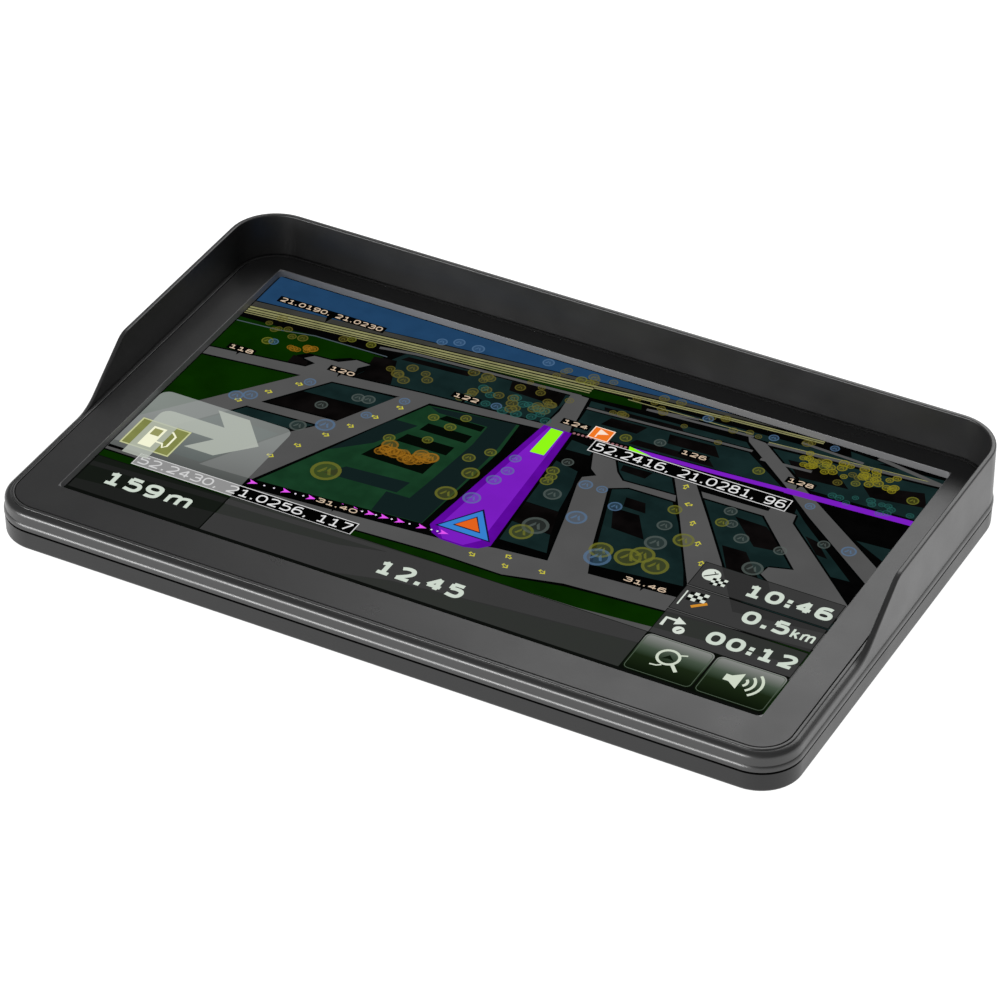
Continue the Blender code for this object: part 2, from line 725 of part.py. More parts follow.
def audio_jack():
    """The round socket for a plug, with its bore."""
    bm, bore = bmesh.new(), bmesh.new()
    half_y, half_z = 3.1, 2.0
    low = (PORT_FACE_X, JACK_Y - half_y, JACK_Z + 0.05 - half_z)
    add_box(bm, low, (-70.5, JACK_Y + half_y, JACK_Z + 0.05 + half_z), 0.2)
    jack = piece("audio_jack", bm, chip_resin())
    add_drill(bore, (-84, JACK_Y, JACK_Z), (1, 0, 0), 1.8, 12.5, 14)
    shape(jack, "jack_bore", bore, "DIFFERENCE")


def plug_blocks():
    """The ribbon connectors and the wire plugs under the board."""
    blocks = [
        ("display_connector", (-36, -33.5), (-4, -29), 3.0, chip_resin()),
        ("touch_connector", (-63, -33.5), (-53, -29), 3.0, chip_resin()),
        ("battery_plug", (2, 4), (8, 11), 2.5, white_plastic()),
        ("speaker_plug", (2, 16.5), (8, 21.5), 2.5, white_plastic()),
    ]
    for name, low, high, bottom, finish in blocks:
        bm = bmesh.new()
        add_box(bm, (*low, bottom), (*high, CHIP_TOP), 0.15)
        piece(name, bm, finish)


# Ribbons and wires

def ribbon(name, x, corners, thick=0.15):
    """A flat cable bent along corners (y, z, radius, steps), between two x values."""
    path = rounded_path(corners)
    bm = bmesh.new()
    loops = []
    for index, place in enumerate(path):
        before, after = path[max(index - 1, 0)], path[min(index + 1, len(path) - 1)]
        along = (after - before).normalized()
        across = Vector((-along.y, along.x)) * thick / 2
        one, other = place + across, place - across
        loops.append([
            Vector((x[0], *one)), Vector((x[1], *one)), Vector((x[1], *other)), Vector((x[0], *other))
        ])
    loft(bm, loops)
    piece(name, bm, ribbon_film())


def ribbons():
    run_z = 3.6
    into_board = [(-44, run_z, 2, 3), (-33.7, run_z)]
    display_end = [(-48.6, 10.0), (-49.7, 10.0, 0.4, 3), (-49.7, 5.4, 2, 3)]
    touch_end = [(-48.7, 10.95), (-50.1, 10.95, 0.4, 3), (-50.1, 5.6, 2, 3)]
    ribbon("display_cable", (-34, -6), display_end + into_board)
    ribbon("touch_cable", (-61, -55), touch_end + into_board)


def wire(name, points, colour):
    """A round wire through points, as one smooth curve."""
    ends = [Vector(point) for point in points]
    guide = [ends[0], *ends, ends[-1]]
    steps = 4
    path = []
    for index in range(1, len(guide) - 2):
        p0, p1, p2, p3 = guide[index - 1:index + 3]
        for step in range(steps):
            t = step / steps
            path.append(0.5 * (
                2 * p1 + (p2 - p0) * t + (2 * p0 - 5 * p1 + 4 * p2 - p3) * t ** 2
                + (3 * p1 - p0 - 3 * p2 + p3) * t ** 3
            ))
    path.append(ends[-1])
    curve = bpy.data.curves.new(name, "CURVE")
    curve.dimensions = "3D"
    curve.bevel_depth = 0.4 * MM
    curve.bevel_resolution = 2
    curve.render_resolution_u = 0
    curve.use_fill_caps = True
    spline = curve.splines.new("POLY")
    spline.points.add(len(path) - 1)
    for point, place in zip(spline.points, path):
        point.co = (*(place * MM), 1)
    made = bpy.data.objects.new(name, curve)
    curve.materials.append(material(name, colour, 0.5))
    bpy.context.collection.objects.link(made)


def wires():
    """The battery's and the speaker's pairs, each from its plug to its part."""
    red, black = (0.5, 0.02, 0.02), (0.02, 0.02, 0.02)
    to_battery = [(8.3, 8.6, 3.4), (10, 8.6, 3.4), (12, 9.2, 3.9), (13.7, 9.4, 4.2)]
    to_speaker = [(8.3, 20, 3.4), (13, 20, 3.3), (22, 23.5, 3.3), (29, 27.5, 3.8), (33.2, 28, 4.2)]
    runs = [
        ("battery_wire_red", to_battery, 0, red),
        ("battery_wire_black", to_battery, -2.2, black),
        ("speaker_wire_red", to_speaker, 0, red),
        ("speaker_wire_black", to_speaker, -2, black),
    ]
    for name, path, shift, colour in runs:
        wire(name, [(x, y + shift, z) for x, y, z in path], colour)


# Battery and speaker

def battery():
    bm = bmesh.new()
    add_box(bm, (14, -41, BATTERY_Z[0]), (66, 14, BATTERY_Z[1]), 0.6)
    piece("battery", bm, material("battery_pouch", (0.55, 0.56, 0.57), 0.4, 0.6))


def speaker():
    """The speaker, with its sealing ring and the cloth behind the grille."""
    x, y = SPEAKER_XY
    cloth, ring, body = bmesh.new(), bmesh.new(), bmesh.new()
    add_box(cloth, (x - 11, y - 10, CLOTH_Z[0]), (x + 11, y + 10, CLOTH_Z[1]))
    piece("speaker_cloth", cloth, foam())
    rims = []
    for half_x, half_y in ((14, 10.8), (11.5, 8.8)):
        points = outline(half_x, y - half_y, y + half_y, 3, 3, steps=3)
        rims.append([(place + Vector((x, 0)), away) for place, away in points])
    outer, inner = rims
    low, high = SPEAKER_GASKET_Z
    loops = [flat_loop(outer, low), flat_loop(outer, high), flat_loop(inner, high), flat_loop(inner, low)]
    loft(ring, loops, closed=True)
    piece("speaker_gasket", ring, foam())
    add_box(body, (x - 16, y - 11, SPEAKER_Z[0]), (x + 16, y + 11, SPEAKER_Z[1]), 0.5)
    piece("speaker", body, chip_resin())


# Screws

def screw(name, head_r, head_h, shank_r, length):
    """A screw with a cross recess. Its head is at z = 0 and its tip points along +Z."""
    arm, half, depth = 0.62 * head_r, 0.17 * head_r, 0.55 * head_h
    cross = [
        (arm, -half), (arm, half), (half, half), (half, arm), (-half, arm), (-half, half),
        (-arm, half), (-arm, -half), (-half, -half), (-half, -arm), (half, -arm), (half, -half),
    ]
    loops = [[Vector((x, y, z)) for x, y in cross] for z in (depth, 0)]
    for radius, z in (
        (0.88 * head_r, 0), (head_r, 0.25 * head_h), (head_r, head_h), (shank_r, head_h),
        (shank_r, length - shank_r), (0.5 * shank_r, length),
    ):
        angles = [math.radians(30 * side - 15) for side in range(12)]
        loops.append([Vector((radius * math.cos(a), radius * math.sin(a), z)) for a in angles])
    bm = bmesh.new()
    loft(bm, loops)
    return piece(name, bm, screw_steel())


def screws(name, places, z, head_r, head_h, shank_r, length):
    """Equal screws, all with one mesh."""
    first = screw(f"{name}_1", head_r, head_h, shank_r, length)
    first.location = Vector((*places[0], z)) * MM
    for number, (x, y) in enumerate(places[1:], 2):
        made = bpy.data.objects.new(f"{name}_{number}", first.data)
        made.location = Vector((x, y, z)) * MM
        bpy.context.collection.objects.link(made)


def main():
    for old in list(bpy.data.objects):
        bpy.data.objects.remove(old)
    front_frame()
    face_plate()
    panel_gasket()
    display_module()
    display_bracket()
    rear_cover()
    power_button()
    power_switch()
    reset_switch()
    main_board()
    board_chips()
    shield_can()
    receiver_chip()
    gps_antenna()
    usb_socket()
    card_socket()
    audio_jack()
    plug_blocks()
    ribbons()
    wires()
    battery()
    speaker()
    screws("case_screw", CASE_SCREWS, 1.2, 2.0, 1.05, 0.95, 5.2)
    screws("bracket_screw", BRACKET_SCREWS, 5.1, 1.35, 0.85, 0.7, 4.0)
    screws("board_screw", BOARD_SCREWS, 3.25, 1.6, 0.9, 0.75, 3.2)


main()
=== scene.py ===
"""Portable navigator with a seven inch touch display and a sun visor.

It is laid out as a Blender add-on and run as a script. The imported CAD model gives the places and
sizes, and the operators below build the moulded case, the display's picture, the parts behind it
and the studio round them. Lengths inside the functions are millimetres, turned into metres by MM.
"""
import math
import random

import bmesh
import bpy
from mathutils import Color, Matrix, Vector


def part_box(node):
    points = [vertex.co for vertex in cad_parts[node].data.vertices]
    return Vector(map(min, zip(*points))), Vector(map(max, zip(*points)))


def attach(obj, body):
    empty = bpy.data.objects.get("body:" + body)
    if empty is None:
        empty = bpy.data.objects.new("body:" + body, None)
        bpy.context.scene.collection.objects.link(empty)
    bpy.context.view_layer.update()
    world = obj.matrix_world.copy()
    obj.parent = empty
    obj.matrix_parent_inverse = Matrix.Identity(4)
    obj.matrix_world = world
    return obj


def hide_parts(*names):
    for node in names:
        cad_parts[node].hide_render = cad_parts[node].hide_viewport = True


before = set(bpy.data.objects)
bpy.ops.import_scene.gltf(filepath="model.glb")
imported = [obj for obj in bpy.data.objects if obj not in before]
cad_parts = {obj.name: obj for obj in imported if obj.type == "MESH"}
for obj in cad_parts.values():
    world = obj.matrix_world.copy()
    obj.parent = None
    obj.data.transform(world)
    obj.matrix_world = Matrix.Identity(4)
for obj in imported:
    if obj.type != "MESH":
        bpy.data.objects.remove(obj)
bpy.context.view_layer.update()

bl_info = {
    "name": "Portable navigator",
    "version": (1, 0, 0),
    "blender": (4, 5, 0),
    "location": "3D View > Sidebar > Navigator",
    "description": "Builds a portable navigator round its CAD model",
    "category": "Object",
}

MM = 0.001


def cad_box(node):
    """A CAD node's lowest and highest corners, in millimetres."""
    low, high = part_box(node)
    return low / MM, high / MM


PLATE_LOW, PLATE_HIGH = cad_box("face_plate")
FRAME_HIGH = cad_box("front_frame")[1]
COVER_HIGH = cad_box("rear_cover")[1]

# The moulded case
FACE_Z = PLATE_HIGH.z
PLATE_GAP = 0.12                  # from the plate's edge to the outline that everything follows
PLATE_HALF = (PLATE_HIGH.x + PLATE_GAP, PLATE_HIGH.y + PLATE_GAP)
PLATE_FRONT_R, PLATE_BACK_R = 6.7, 8.5
FRAME_OUT = FRAME_HIGH.x - PLATE_HALF[0]
FRAME_WALL_OUT = 2.08             # the visor's outer wall, beyond the plate's edge
COVER_OUT = COVER_HIGH.x - PLATE_HALF[0]
VISOR_RISE = FRAME_HIGH.z - FACE_Z
LEDGE_IN = -2.4                   # stands for the edge of the ledge's opening
LEDGE_HALF, LEDGE_R = (83.0, 48.885), 1.5
COVER_WALL = 1.5
SHOULDER_Z = 4.77                 # where the cover's wall turns into its slope
SIDE_SLOPE, FRONT_SLOPE = math.radians(55), math.radians(36)
FRAME_FOOT_Z = FACE_Z - 4.27      # the frame's lower edge, above the parting line
CASE_SCREWS = [(x, y) for y in (-40, 40) for x in (-72, 72)]
BRACKET_SCREWS = [(x, y) for y in (-37, 37) for x in (-83.2, 83.2)]
JACK_Y, USB_Y, CARD_Y, PIN_Y = 24, 8, -10, -24
KEY_X, KEY_Z = -50, 6.05          # the middle of the power key
CORNER_STEPS = 14
SMOOTH_ANGLE = math.radians(32)

# The picture on the display, measured from the middle of its window
GLASS_TOP = cad_box("touch_panel")[1].z
LAYER = 0.02                      # from one layer of the picture to the next, the ground being 0
TILE = 0.012                      # thickness of a tile in the picture
PICTURE_HALF = (77.6, 44.2)

# The studio, in metres: the floor, and each light's place, target and size
FLOOR_HALF, FLOOR_DROP = 6.0, 0.0004
LAMPS = {
    "back_light": ((-0.02, 0.79, 0.62), (0, 0, 0), (0.8, 0.6)),
    "edge_light": ((-0.38, -0.93, 0.055), (0, 0, 0.01), (0.8, 0.2)),
    "side_light": ((0.65, 0.78, 0.42), (0, 0, 0), (0.5, 0.4)),
}


# Settings

def length(name, description, millimetres):
    """A length that a user may change."""
    return bpy.props.FloatProperty(
        name=name, description=description, default=millimetres * MM, unit="LENGTH", precision=5
    )


def share(name, description, value):
    """A share from 0 to 1."""
    return bpy.props.FloatProperty(
        name=name, description=description, default=value, min=0, max=1, subtype="FACTOR"
    )


def power(name, description, value):
    """A brightness or a lamp's power."""
    return bpy.props.FloatProperty(name=name, description=description, default=value, min=0)


def angle(name, description, degrees):
    return bpy.props.FloatProperty(
        name=name, description=description, default=math.radians(degrees), subtype="ANGLE"
    )


def colour(name, description, value):
    """A surface colour, as linear light."""
    return bpy.props.FloatVectorProperty(
        name=name, description=description, default=value, size=3, min=0, max=1, subtype="COLOR"
    )


def screen_colour(name, description, red, green, blue):
    """A colour of the display, as the usual values from 0 to 255."""
    return bpy.props.FloatVectorProperty(
        name=name, description=description, default=(red / 255, green / 255, blue / 255), size=3,
        min=0, max=1, subtype="COLOR_GAMMA"
    )


class NavigatorCase(bpy.types.PropertyGroup):
    """Sizes and colours of the moulded case"""

    window_width: length("Window width", "Width of the opening over the display", 155.4)
    window_height: length("Window height", "Height of the opening over the display", 88.58)
    window_shift: length("Window shift", "How far the window sits towards the visor", 1.925)
    window_radius: length("Window radius", "Radius of the window's corners", 1.2)
    visor_toe: length("Visor toe", "Where the visor's slope meets the face, from the middle", -16.6)
    visor_crest: length("Visor crest", "Where the slope meets the visor's top, from the middle", -2.0)
    frame_colour: colour("Frame", "Colour of the frame and its visor", (0.011, 0.011, 0.0113))
    plate_colour: colour("Face plate", "Colour of the plate round the display", (0.020, 0.020, 0.0205))
    cover_colour: colour("Rear cover", "Colour of the rear cover", (0.006, 0.006, 0.0062))
    grain: length("Grain", "Size of the plastic's moulded grain", 0.35)


class NavigatorPicture(bpy.types.PropertyGroup):
    """Colours of the picture on the display"""

    brightness: share("Brightness", "How bright the display is", 1.0)
    ground: screen_colour("Ground", "The map's bare ground", 4, 4, 4)
    sky: screen_colour("Sky", "The sky over the map", 31, 64, 98)
    park: screen_colour("Park", "Parks and lawns", 8, 37, 1)
    block: screen_colour("Block", "Built-up blocks", 19, 36, 36)
    green_block: screen_colour("Green block", "The block beside the route", 22, 56, 34)
    road: screen_colour("Road", "Streets", 81, 81, 81)
    rail: screen_colour("Far road", "The striped road at the horizon", 135, 134, 92)
    route: screen_colour("Route", "The planned route", 121, 29, 190)
    route_edge: screen_colour("Route edge", "The route's darker sides", 92, 8, 154)
    mark: screen_colour("Turn mark", "The marks where the route turns", 143, 248, 22)
    letters: screen_colour("Digits", "Digits in the panels", 205, 216, 204)


class NavigatorStage(bpy.types.PropertyGroup):
    """Camera, floor and lights"""

    azimuth: angle("Azimuth", "Camera's turn round the object", 27.768)
    elevation: angle("Elevation", "Camera's height over the floor", 36.276)
    roll: angle("Roll", "Camera's turn about its own axis", -0.328)
    distance: length("Distance", "Camera's distance from its aim", 973.57)
    aim: bpy.props.FloatVectorProperty(
        name="Aim", description="Point that the camera looks at", size=3, unit="LENGTH",
        default=(2.29 * MM, -4.91 * MM, 13.6 * MM), precision=5
    )
    lens: bpy.props.FloatProperty(
        name="Lens", description="Focal length on a 36 mm sensor", default=176.07, min=1
    )
    floor_colour: colour("Floor", "Colour of the pale floor", (0.3, 0.3, 0.3))
    surround: power("Surround", "Brightness of the studio's walls", 0.3)
    back_light: power("Back light", "Power of the soft box that the face reflects, in watts", 3.5)
    edge_light: power("Edge light", "Power of the strip that lights the front beads, in watts", 13.0)
    side_light: power("Side light", "Power of the soft box beside the visor, in watts", 0.3)


# Outlines and paths

def fillet(before, corner, after, radius, steps):
    """Points of the arc that rounds a path's corner."""
    if radius <= 0:
        return [corner]
    back, onward = (before - corner).normalized(), (after - corner).normalized()
    half = back.angle(onward) / 2
    centre = corner + (back + onward).normalized() * radius / math.sin(half)
    first = corner + back * radius / math.tan(half) - centre
    last = corner + onward * radius / math.tan(half) - centre
    turn = math.atan2(first.x * last.y - first.y * last.x, first.dot(last))
    points = []
    for step in range(steps + 1):
        spin = Matrix.Rotation(turn * step / steps, 2)
        points.append(centre + spin @ first)
    return points


def rounded_path(corners, closed=False):
    """An open or closed path through corners (a, b, radius, steps) with each corner rounded."""
    places = [Vector(corner[:2]) for corner in corners]
    count = len(corners)
    points = []
    for index, corner in enumerate(corners):
        at_end = not closed and index in (0, count - 1)
        if at_end or len(corner) < 4:
            points.append(places[index])
        else:
            points += fillet(places[index - 1], places[index], places[(index + 1) % count], *corner[2:])
    return points


def outline(half_x, y_front, y_back, r_front, r_back, stops=(), steps=CORNER_STEPS):
    """Points and outward directions round a rectangle with rounded corners, counter-clockwise.

    Both long sides get one more point at each y in stops.
    """
    corners = [
        (half_x - r_front, y_front + r_front, r_front, -90),
        (half_x - r_back, y_back - r_back, r_back, 0),
        (r_back - half_x, y_back - r_back, r_back, 90),
        (r_front - half_x, y_front + r_front, r_front, 180),
    ]
    points = []
    for index, (x, y, radius, start) in enumerate(corners):
        for step in range(steps + 1):
            turn = math.radians(start + 90 * step / steps)
            away = Vector((math.cos(turn), math.sin(turn)))
            points.append((Vector((x, y)) + away * radius, away))
        if index == 0:
            points += [(Vector((half_x, y)), Vector((1, 0))) for y in stops]
        if index == 2:
            points += [(Vector((-half_x, y)), Vector((-1, 0))) for y in reversed(stops)]
    return points


def flat_loop(points, z):
    return [Vector((place.x, place.y, z)) for place, _ in points]


def plate_outline(stops=()):
    half_x, half_y = PLATE_HALF
    return outline(half_x, -half_y, half_y, PLATE_FRONT_R, PLATE_BACK_R, stops)


def grown_loop(grow, z):
    """The plate's outline, grown outward, at one height."""
    return [Vector((*(place + away * grow), z)) for place, away in plate_outline()]


def rounded_box(low, high, radius, steps=6):
    """A flat outline with rounded corners, as (x, y) corners."""
    middle_x = (low[0] + high[0]) / 2
    half_x = (high[0] - low[0]) / 2
    points = outline(half_x, low[1], high[1], radius, radius, steps=steps)
    return [(place.x + middle_x, place.y) for place, _ in points]


def rectangle(left, foot, right, top):
    return [(left, foot), (right, foot), (right, top), (left, top)]


def round_outline(x, y, half_x, half_y, sides, power=1.0):
    """A round outline as (x, y) corners, squarer than an ellipse where power is under 1."""
    def bent(value):
        return math.copysign(abs(value) ** power, value)

    turns = [2 * math.pi * side / sides for side in range(sides)]
    return [(x + half_x * bent(math.cos(a)), y + half_y * bent(math.sin(a))) for a in turns]


# Mesh building

def loft(bm, loops, closed=False):
    """Joins loops of points that match one to one. An open stack of loops gets both ends capped."""
    rows = [[bm.verts.new(point) for point in loop] for loop in loops]
    pairs = list(zip(rows, rows[1:] + rows[:1])) if closed else list(zip(rows, rows[1:]))
    for lower, upper in pairs:
        for index in range(len(lower)):
            after = (index + 1) % len(lower)
            bm.faces.new((lower[index], lower[after], upper[after], upper[index]))
    if not closed:
        bm.faces.new(rows[0])
        bm.faces.new(rows[-1])


def add_box(bm, low, high, bevel=0.0, segments=2):
    low, high = Vector(low), Vector(high)
    made = bmesh.ops.create_cube(bm, size=1)
    for vert in made["verts"]:
        vert.co = (low + high) / 2 + vert.co * (high - low)
    if bevel:
        edges = {edge for vert in made["verts"] for edge in vert.link_edges}
        bmesh.ops.bevel(
            bm, geom=list(edges), offset=bevel, segments=segments, profile=0.5, affect="EDGES"
        )


def add_turned(bm, base, axis, profile, sides=32):
    """A turned body: profile lists (radius, distance along axis) from base."""
    turn = Vector((0, 0, 1)).rotation_difference(Vector(axis))
    ring = [2 * math.pi * (side + 0.5) / sides for side in range(sides)]
    loft(bm, [
        [Vector(base) + turn @ Vector((radius * math.cos(a), radius * math.sin(a), along)) for a in ring]
        for radius, along in profile
    ])


def add_prism(bm, corners, axis, low, high):
    """A prism over corners in the plane across axis 'x', 'y' or 'z'."""
    order = {
        "x": lambda a, b, at: Vector((at, a, b)),
        "y": lambda a, b, at: Vector((a, at, b)),
        "z": lambda a, b, at: Vector((a, b, at)),
    }[axis]
    loft(bm, [[order(a, b, at) for a, b in corners] for at in (low, high)])


def add_hoop(bm, outer, inner, low, high):
    """A flat closed ring between two outlines of matching corners."""
    loft(bm, [
        [Vector((x, y, z)) for x, y in corners]
        for corners, z in ((outer, low), (outer, high), (inner, high), (inner, low))
    ], closed=True)


def finished_mesh(name, bm):
    """A mesh in metres from a millimetre bmesh, with its faces out."""
    bmesh.ops.recalc_face_normals(bm, faces=bm.faces)
    bmesh.ops.scale(bm, verts=bm.verts, vec=Vector((MM, MM, MM)))
    mesh = bpy.data.meshes.new(name)
    bm.to_mesh(mesh)
    bm.free()
    return mesh


def linked(name, data):
    made = bpy.data.objects.new(name, data)
    bpy.context.scene.collection.objects.link(made)
    return made


def evaluated_mesh(source):
    """The plain mesh that an object makes with its modifiers, after which the object is removed."""
    bpy.context.view_layer.update()
    depsgraph = bpy.context.evaluated_depsgraph_get()
    mesh = bpy.data.meshes.new_from_object(source.evaluated_get(depsgraph))
    bpy.data.objects.remove(source)
    return mesh


def combined(name, bm, guides):
    """The mesh that bm makes once each guide (operation, bmesh) is added or cut away."""
    body = linked(name, finished_mesh(name, bm))
    helpers = []
    for operation, guide_bm in guides:
        guide = linked(f"{name}_guide", finished_mesh(f"{name}_guide", guide_bm))
        helpers.append(guide)
        modifier = body.modifiers.new(operation, "BOOLEAN")
        modifier.operation = operation
        modifier.object = guide
        modifier.solver = "EXACT"
    mesh = evaluated_mesh(body)
    for guide in helpers:
        bpy.data.objects.remove(guide)
    return mesh


def settle(name, shape, finish, body="case", replaces=()):
    """Puts a piece in the scene with its finish and body. shape is a mesh or a bmesh."""
    mesh = finished_mesh(name, shape) if isinstance(shape, bmesh.types.BMesh) else shape
    mesh.materials.clear()
    mesh.materials.append(finish)
    mesh.shade_smooth()
    mesh.set_sharp_from_angle(angle=SMOOTH_ANGLE)
    rough = linked(f"{name}_rough", mesh)
    flats = rough.modifiers.new("flats", "WEIGHTED_NORMAL")
    flats.keep_sharp = True
    mesh = evaluated_mesh(rough)
    mesh.name = name
    made = linked(name, mesh)
    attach(made, body)
    if replaces:
        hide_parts(*replaces)
    return made


# Materials

class Finish:
    """A procedural material while it is being put together."""

    def __init__(self, name, base, roughness, metallic=0.0, **sockets):
        self.material = bpy.data.materials.new(name)
        self.material.use_nodes = True
        self.nodes = self.material.node_tree.nodes
        self.links = self.material.node_tree.links
        self.shader = self.nodes["Principled BSDF"]
        self.shader.inputs["Base Color"].default_value = (*base, 1)
        self.shader.inputs["Roughness"].default_value = roughness
        self.shader.inputs["Metallic"].default_value = metallic
        for socket, value in sockets.items():
            self.shader.inputs[socket.replace("_", " ")].default_value = value
        self.place = self.nodes.new("ShaderNodeTexCoord").outputs["Object"]
        self.base = base

    def stretched(self, scale, turn=0.0):
        """Object coordinates, stretched for a pattern that runs one way."""
        node = self.nodes.new("ShaderNodeMapping")
        node.inputs["Scale"].default_value = scale
        node.inputs["Rotation"].default_value = (0, 0, turn)
        self.links.new(self.place, node.inputs["Vector"])
        return node.outputs["Vector"]

    def noise(self, size, detail=2.0, place=None):
        """Cloudy noise whose clouds are about size millimetres across."""
        node = self.nodes.new("ShaderNodeTexNoise")
        node.inputs["Scale"].default_value = 1 / (size * MM)
        node.inputs["Detail"].default_value = detail
        self.links.new(place or self.place, node.inputs["Vector"])
        return node.outputs["Fac"]

    def cells(self, size, feature="F1", place=None):
        node = self.nodes.new("ShaderNodeTexVoronoi")
        node.feature = feature
        node.inputs["Scale"].default_value = 1 / (size * MM)
        self.links.new(place or self.place, node.inputs["Vector"])
        return node.outputs["Distance"]

    def bands(self, pitch, direction="X", distortion=0.0):
        """Bands across one axis, pitch millimetres apart."""
        node = self.nodes.new("ShaderNodeTexWave")
        node.bands_direction = direction
        node.inputs["Scale"].default_value = math.pi / (10 * pitch * MM)
        node.inputs["Distortion"].default_value = distortion
        self.links.new(self.place, node.inputs["Vector"])
        return node.outputs["Fac"]

    def between(self, value, low, high, out_low=0.0, out_high=1.0):
        """Value spread from low..high to out_low..out_high, and held there outside."""
        node = self.nodes.new("ShaderNodeMapRange")
        limits = {"From Min": low, "From Max": high, "To Min": out_low, "To Max": out_high}
        for socket, number in limits.items():
            node.inputs[socket].default_value = number
        self.links.new(value, node.inputs["Value"])
        return node.outputs["Result"]

    def worked(self, operation, first, second=0.0):
        """The result of a sum. Each operand is a socket or a plain number."""
        node = self.nodes.new("ShaderNodeMath")
        node.operation = operation
        for socket, value in zip(node.inputs, (first, second)):
            if isinstance(value, float):
                socket.default_value = value
            else:
                self.links.new(value, socket)
        return node.outputs["Value"]

    def axis(self, name):
        """One Object coordinate, in metres."""
        node = self.nodes.new("ShaderNodeSeparateXYZ")
        self.links.new(self.place, node.inputs["Vector"])
        return node.outputs[name]

    def away_from(self, name, middle, half):
        """How far a point is from middle along one axis, where half counts as 1."""
        apart = self.worked("SUBTRACT", self.axis(name), middle)
        return self.between(self.worked("ABSOLUTE", apart), 0.0, 2 * half, 0.0, 2.0)

    def blend(self, value, shade):
        """Lays another colour over the base colour, by value."""
        node = self.nodes.new("ShaderNodeMix")
        node.data_type = "RGBA"
        base = self.shader.inputs["Base Color"]
        self.links.new(value, node.inputs["Factor"])
        if base.links:
            self.links.new(base.links[0].from_socket, node.inputs[6])
        else:
            node.inputs[6].default_value = base.default_value
        node.inputs[7].default_value = (*shade, 1)
        self.links.new(node.outputs[2], base)
        return self

    def ramp(self, value, stops, socket="Base Color"):
        """Colours at places along value, led to a socket."""
        node = self.nodes.new("ShaderNodeValToRGB")
        elements = node.color_ramp.elements
        for index, (at, shade) in enumerate(stops):
            element = elements[index] if index < 2 else elements.new(at)
            element.position = at
            element.color = (*shade, 1)
        self.links.new(value, node.inputs["Fac"])
        self.links.new(node.outputs["Color"], self.shader.inputs[socket])
        return self

    def tint(self, value, dark, light):
        """The base colour, from dark to light times itself along value."""
        return self.ramp(value, [
            (0.3, [channel * dark for channel in self.base]),
            (0.7, [min(1.0, channel * light) for channel in self.base]),
        ])

    def rough(self, value, low, high):
        self.links.new(self.between(value, 0.3, 0.7, low, high), self.shader.inputs["Roughness"])
        return self

    def bump(self, value, depth, strength=1.0):
        """A relief of depth millimetres, laid over any that is there."""
        node = self.nodes.new("ShaderNodeBump")
        node.inputs["Strength"].default_value = strength
        node.inputs["Distance"].default_value = depth * MM
        self.links.new(value, node.inputs["Height"])
        normal = self.shader.inputs["Normal"]
        if normal.links:
            self.links.new(normal.links[0].from_socket, node.inputs["Normal"])
        self.links.new(node.outputs["Normal"], normal)
        return self


def grained(name, base, roughness, grain, depth=0.004, gloss=0.5):
    """Plastic with the fine moulded grain of a spark-eroded tool and slightly uneven gloss."""
    finish = Finish(name, base, roughness, IOR=1.5, Specular_IOR_Level=gloss)
    finish.tint(finish.noise(24, 3), 0.9, 1.1)
    finish.rough(finish.noise(9, 3), roughness - 0.03, roughness + 0.03)
    across = finish.stretched((1, 1, 1), math.radians(31))
    finish.bump(finish.noise(grain, 2, across), depth)
    return finish


# Stage

def area_light(name, place, target, size, power):
    light = bpy.data.lights.new(name, "AREA")
    light.shape = "RECTANGLE"
    light.size, light.size_y = size
    light.energy = power
    made = linked(name, light)
    made.location = place
    made.rotation_euler = (Vector(target) - Vector(place)).to_track_quat("-Z", "Y").to_euler()


class NAVIGATOR_OT_stage(bpy.types.Operator):
    """Set up the floor, the lights and the camera"""

    bl_idname = "navigator.stage"
    bl_label = "Stage"

    def execute(self, context):
        stage = context.scene.navigator_stage
        self.floor(stage)
        self.lights(context.scene, stage)
        self.camera(context.scene, stage)
        return {"FINISHED"}

    def floor(self, stage):
        mesh = bpy.data.meshes.new("floor")
        corners = rectangle(-FLOOR_HALF, -FLOOR_HALF, FLOOR_HALF, FLOOR_HALF)
        mesh.from_pydata([(x, y, 0) for x, y in corners], [], [(0, 1, 2, 3)])
        finish = Finish("floor_paint", tuple(stage.floor_colour), 0.9, Emission_Strength=1.0,
                        Specular_IOR_Level=0.0, Emission_Color=(1, 1, 1, 1))
        finish.tint(finish.noise(400, 2), 0.97, 1.0)
        mesh.materials.append(finish.material)
        floor = linked("floor", mesh)
        floor.location.z = -FLOOR_DROP

    def lights(self, scene, stage):
        world = bpy.data.worlds.new("studio")
        world.use_nodes = True
        background = world.node_tree.nodes["Background"]
        background.inputs["Color"].default_value = (1, 1, 1, 1)
        background.inputs["Strength"].default_value = stage.surround
        scene.world = world
        scene.view_settings.view_transform = "Standard"
        for name, (place, target, size) in LAMPS.items():
            area_light(name, place, target, size, getattr(stage, name))

    def camera(self, scene, stage):
        side = math.cos(stage.elevation)
        away = Vector((
            math.sin(stage.azimuth) * side, -math.cos(stage.azimuth) * side, math.sin(stage.elevation)
        ))
        level = (-away).cross(Vector((0, 0, 1))).normalized()
        raised = level.cross(-away)
        up = raised * math.cos(stage.roll) + level * math.sin(stage.roll)
        right = level * math.cos(stage.roll) - raised * math.sin(stage.roll)
        turn = Matrix((right, up, away)).transposed().to_4x4()
        data = bpy.data.cameras.new("camera")
        data.lens = stage.lens
        data.sensor_width = 36
        data.clip_start, data.clip_end = 0.01, 100
        camera = linked("camera", data)
        camera.matrix_world = Matrix.Translation(Vector(stage.aim) + away * stage.distance) @ turn
        scene.camera = camera


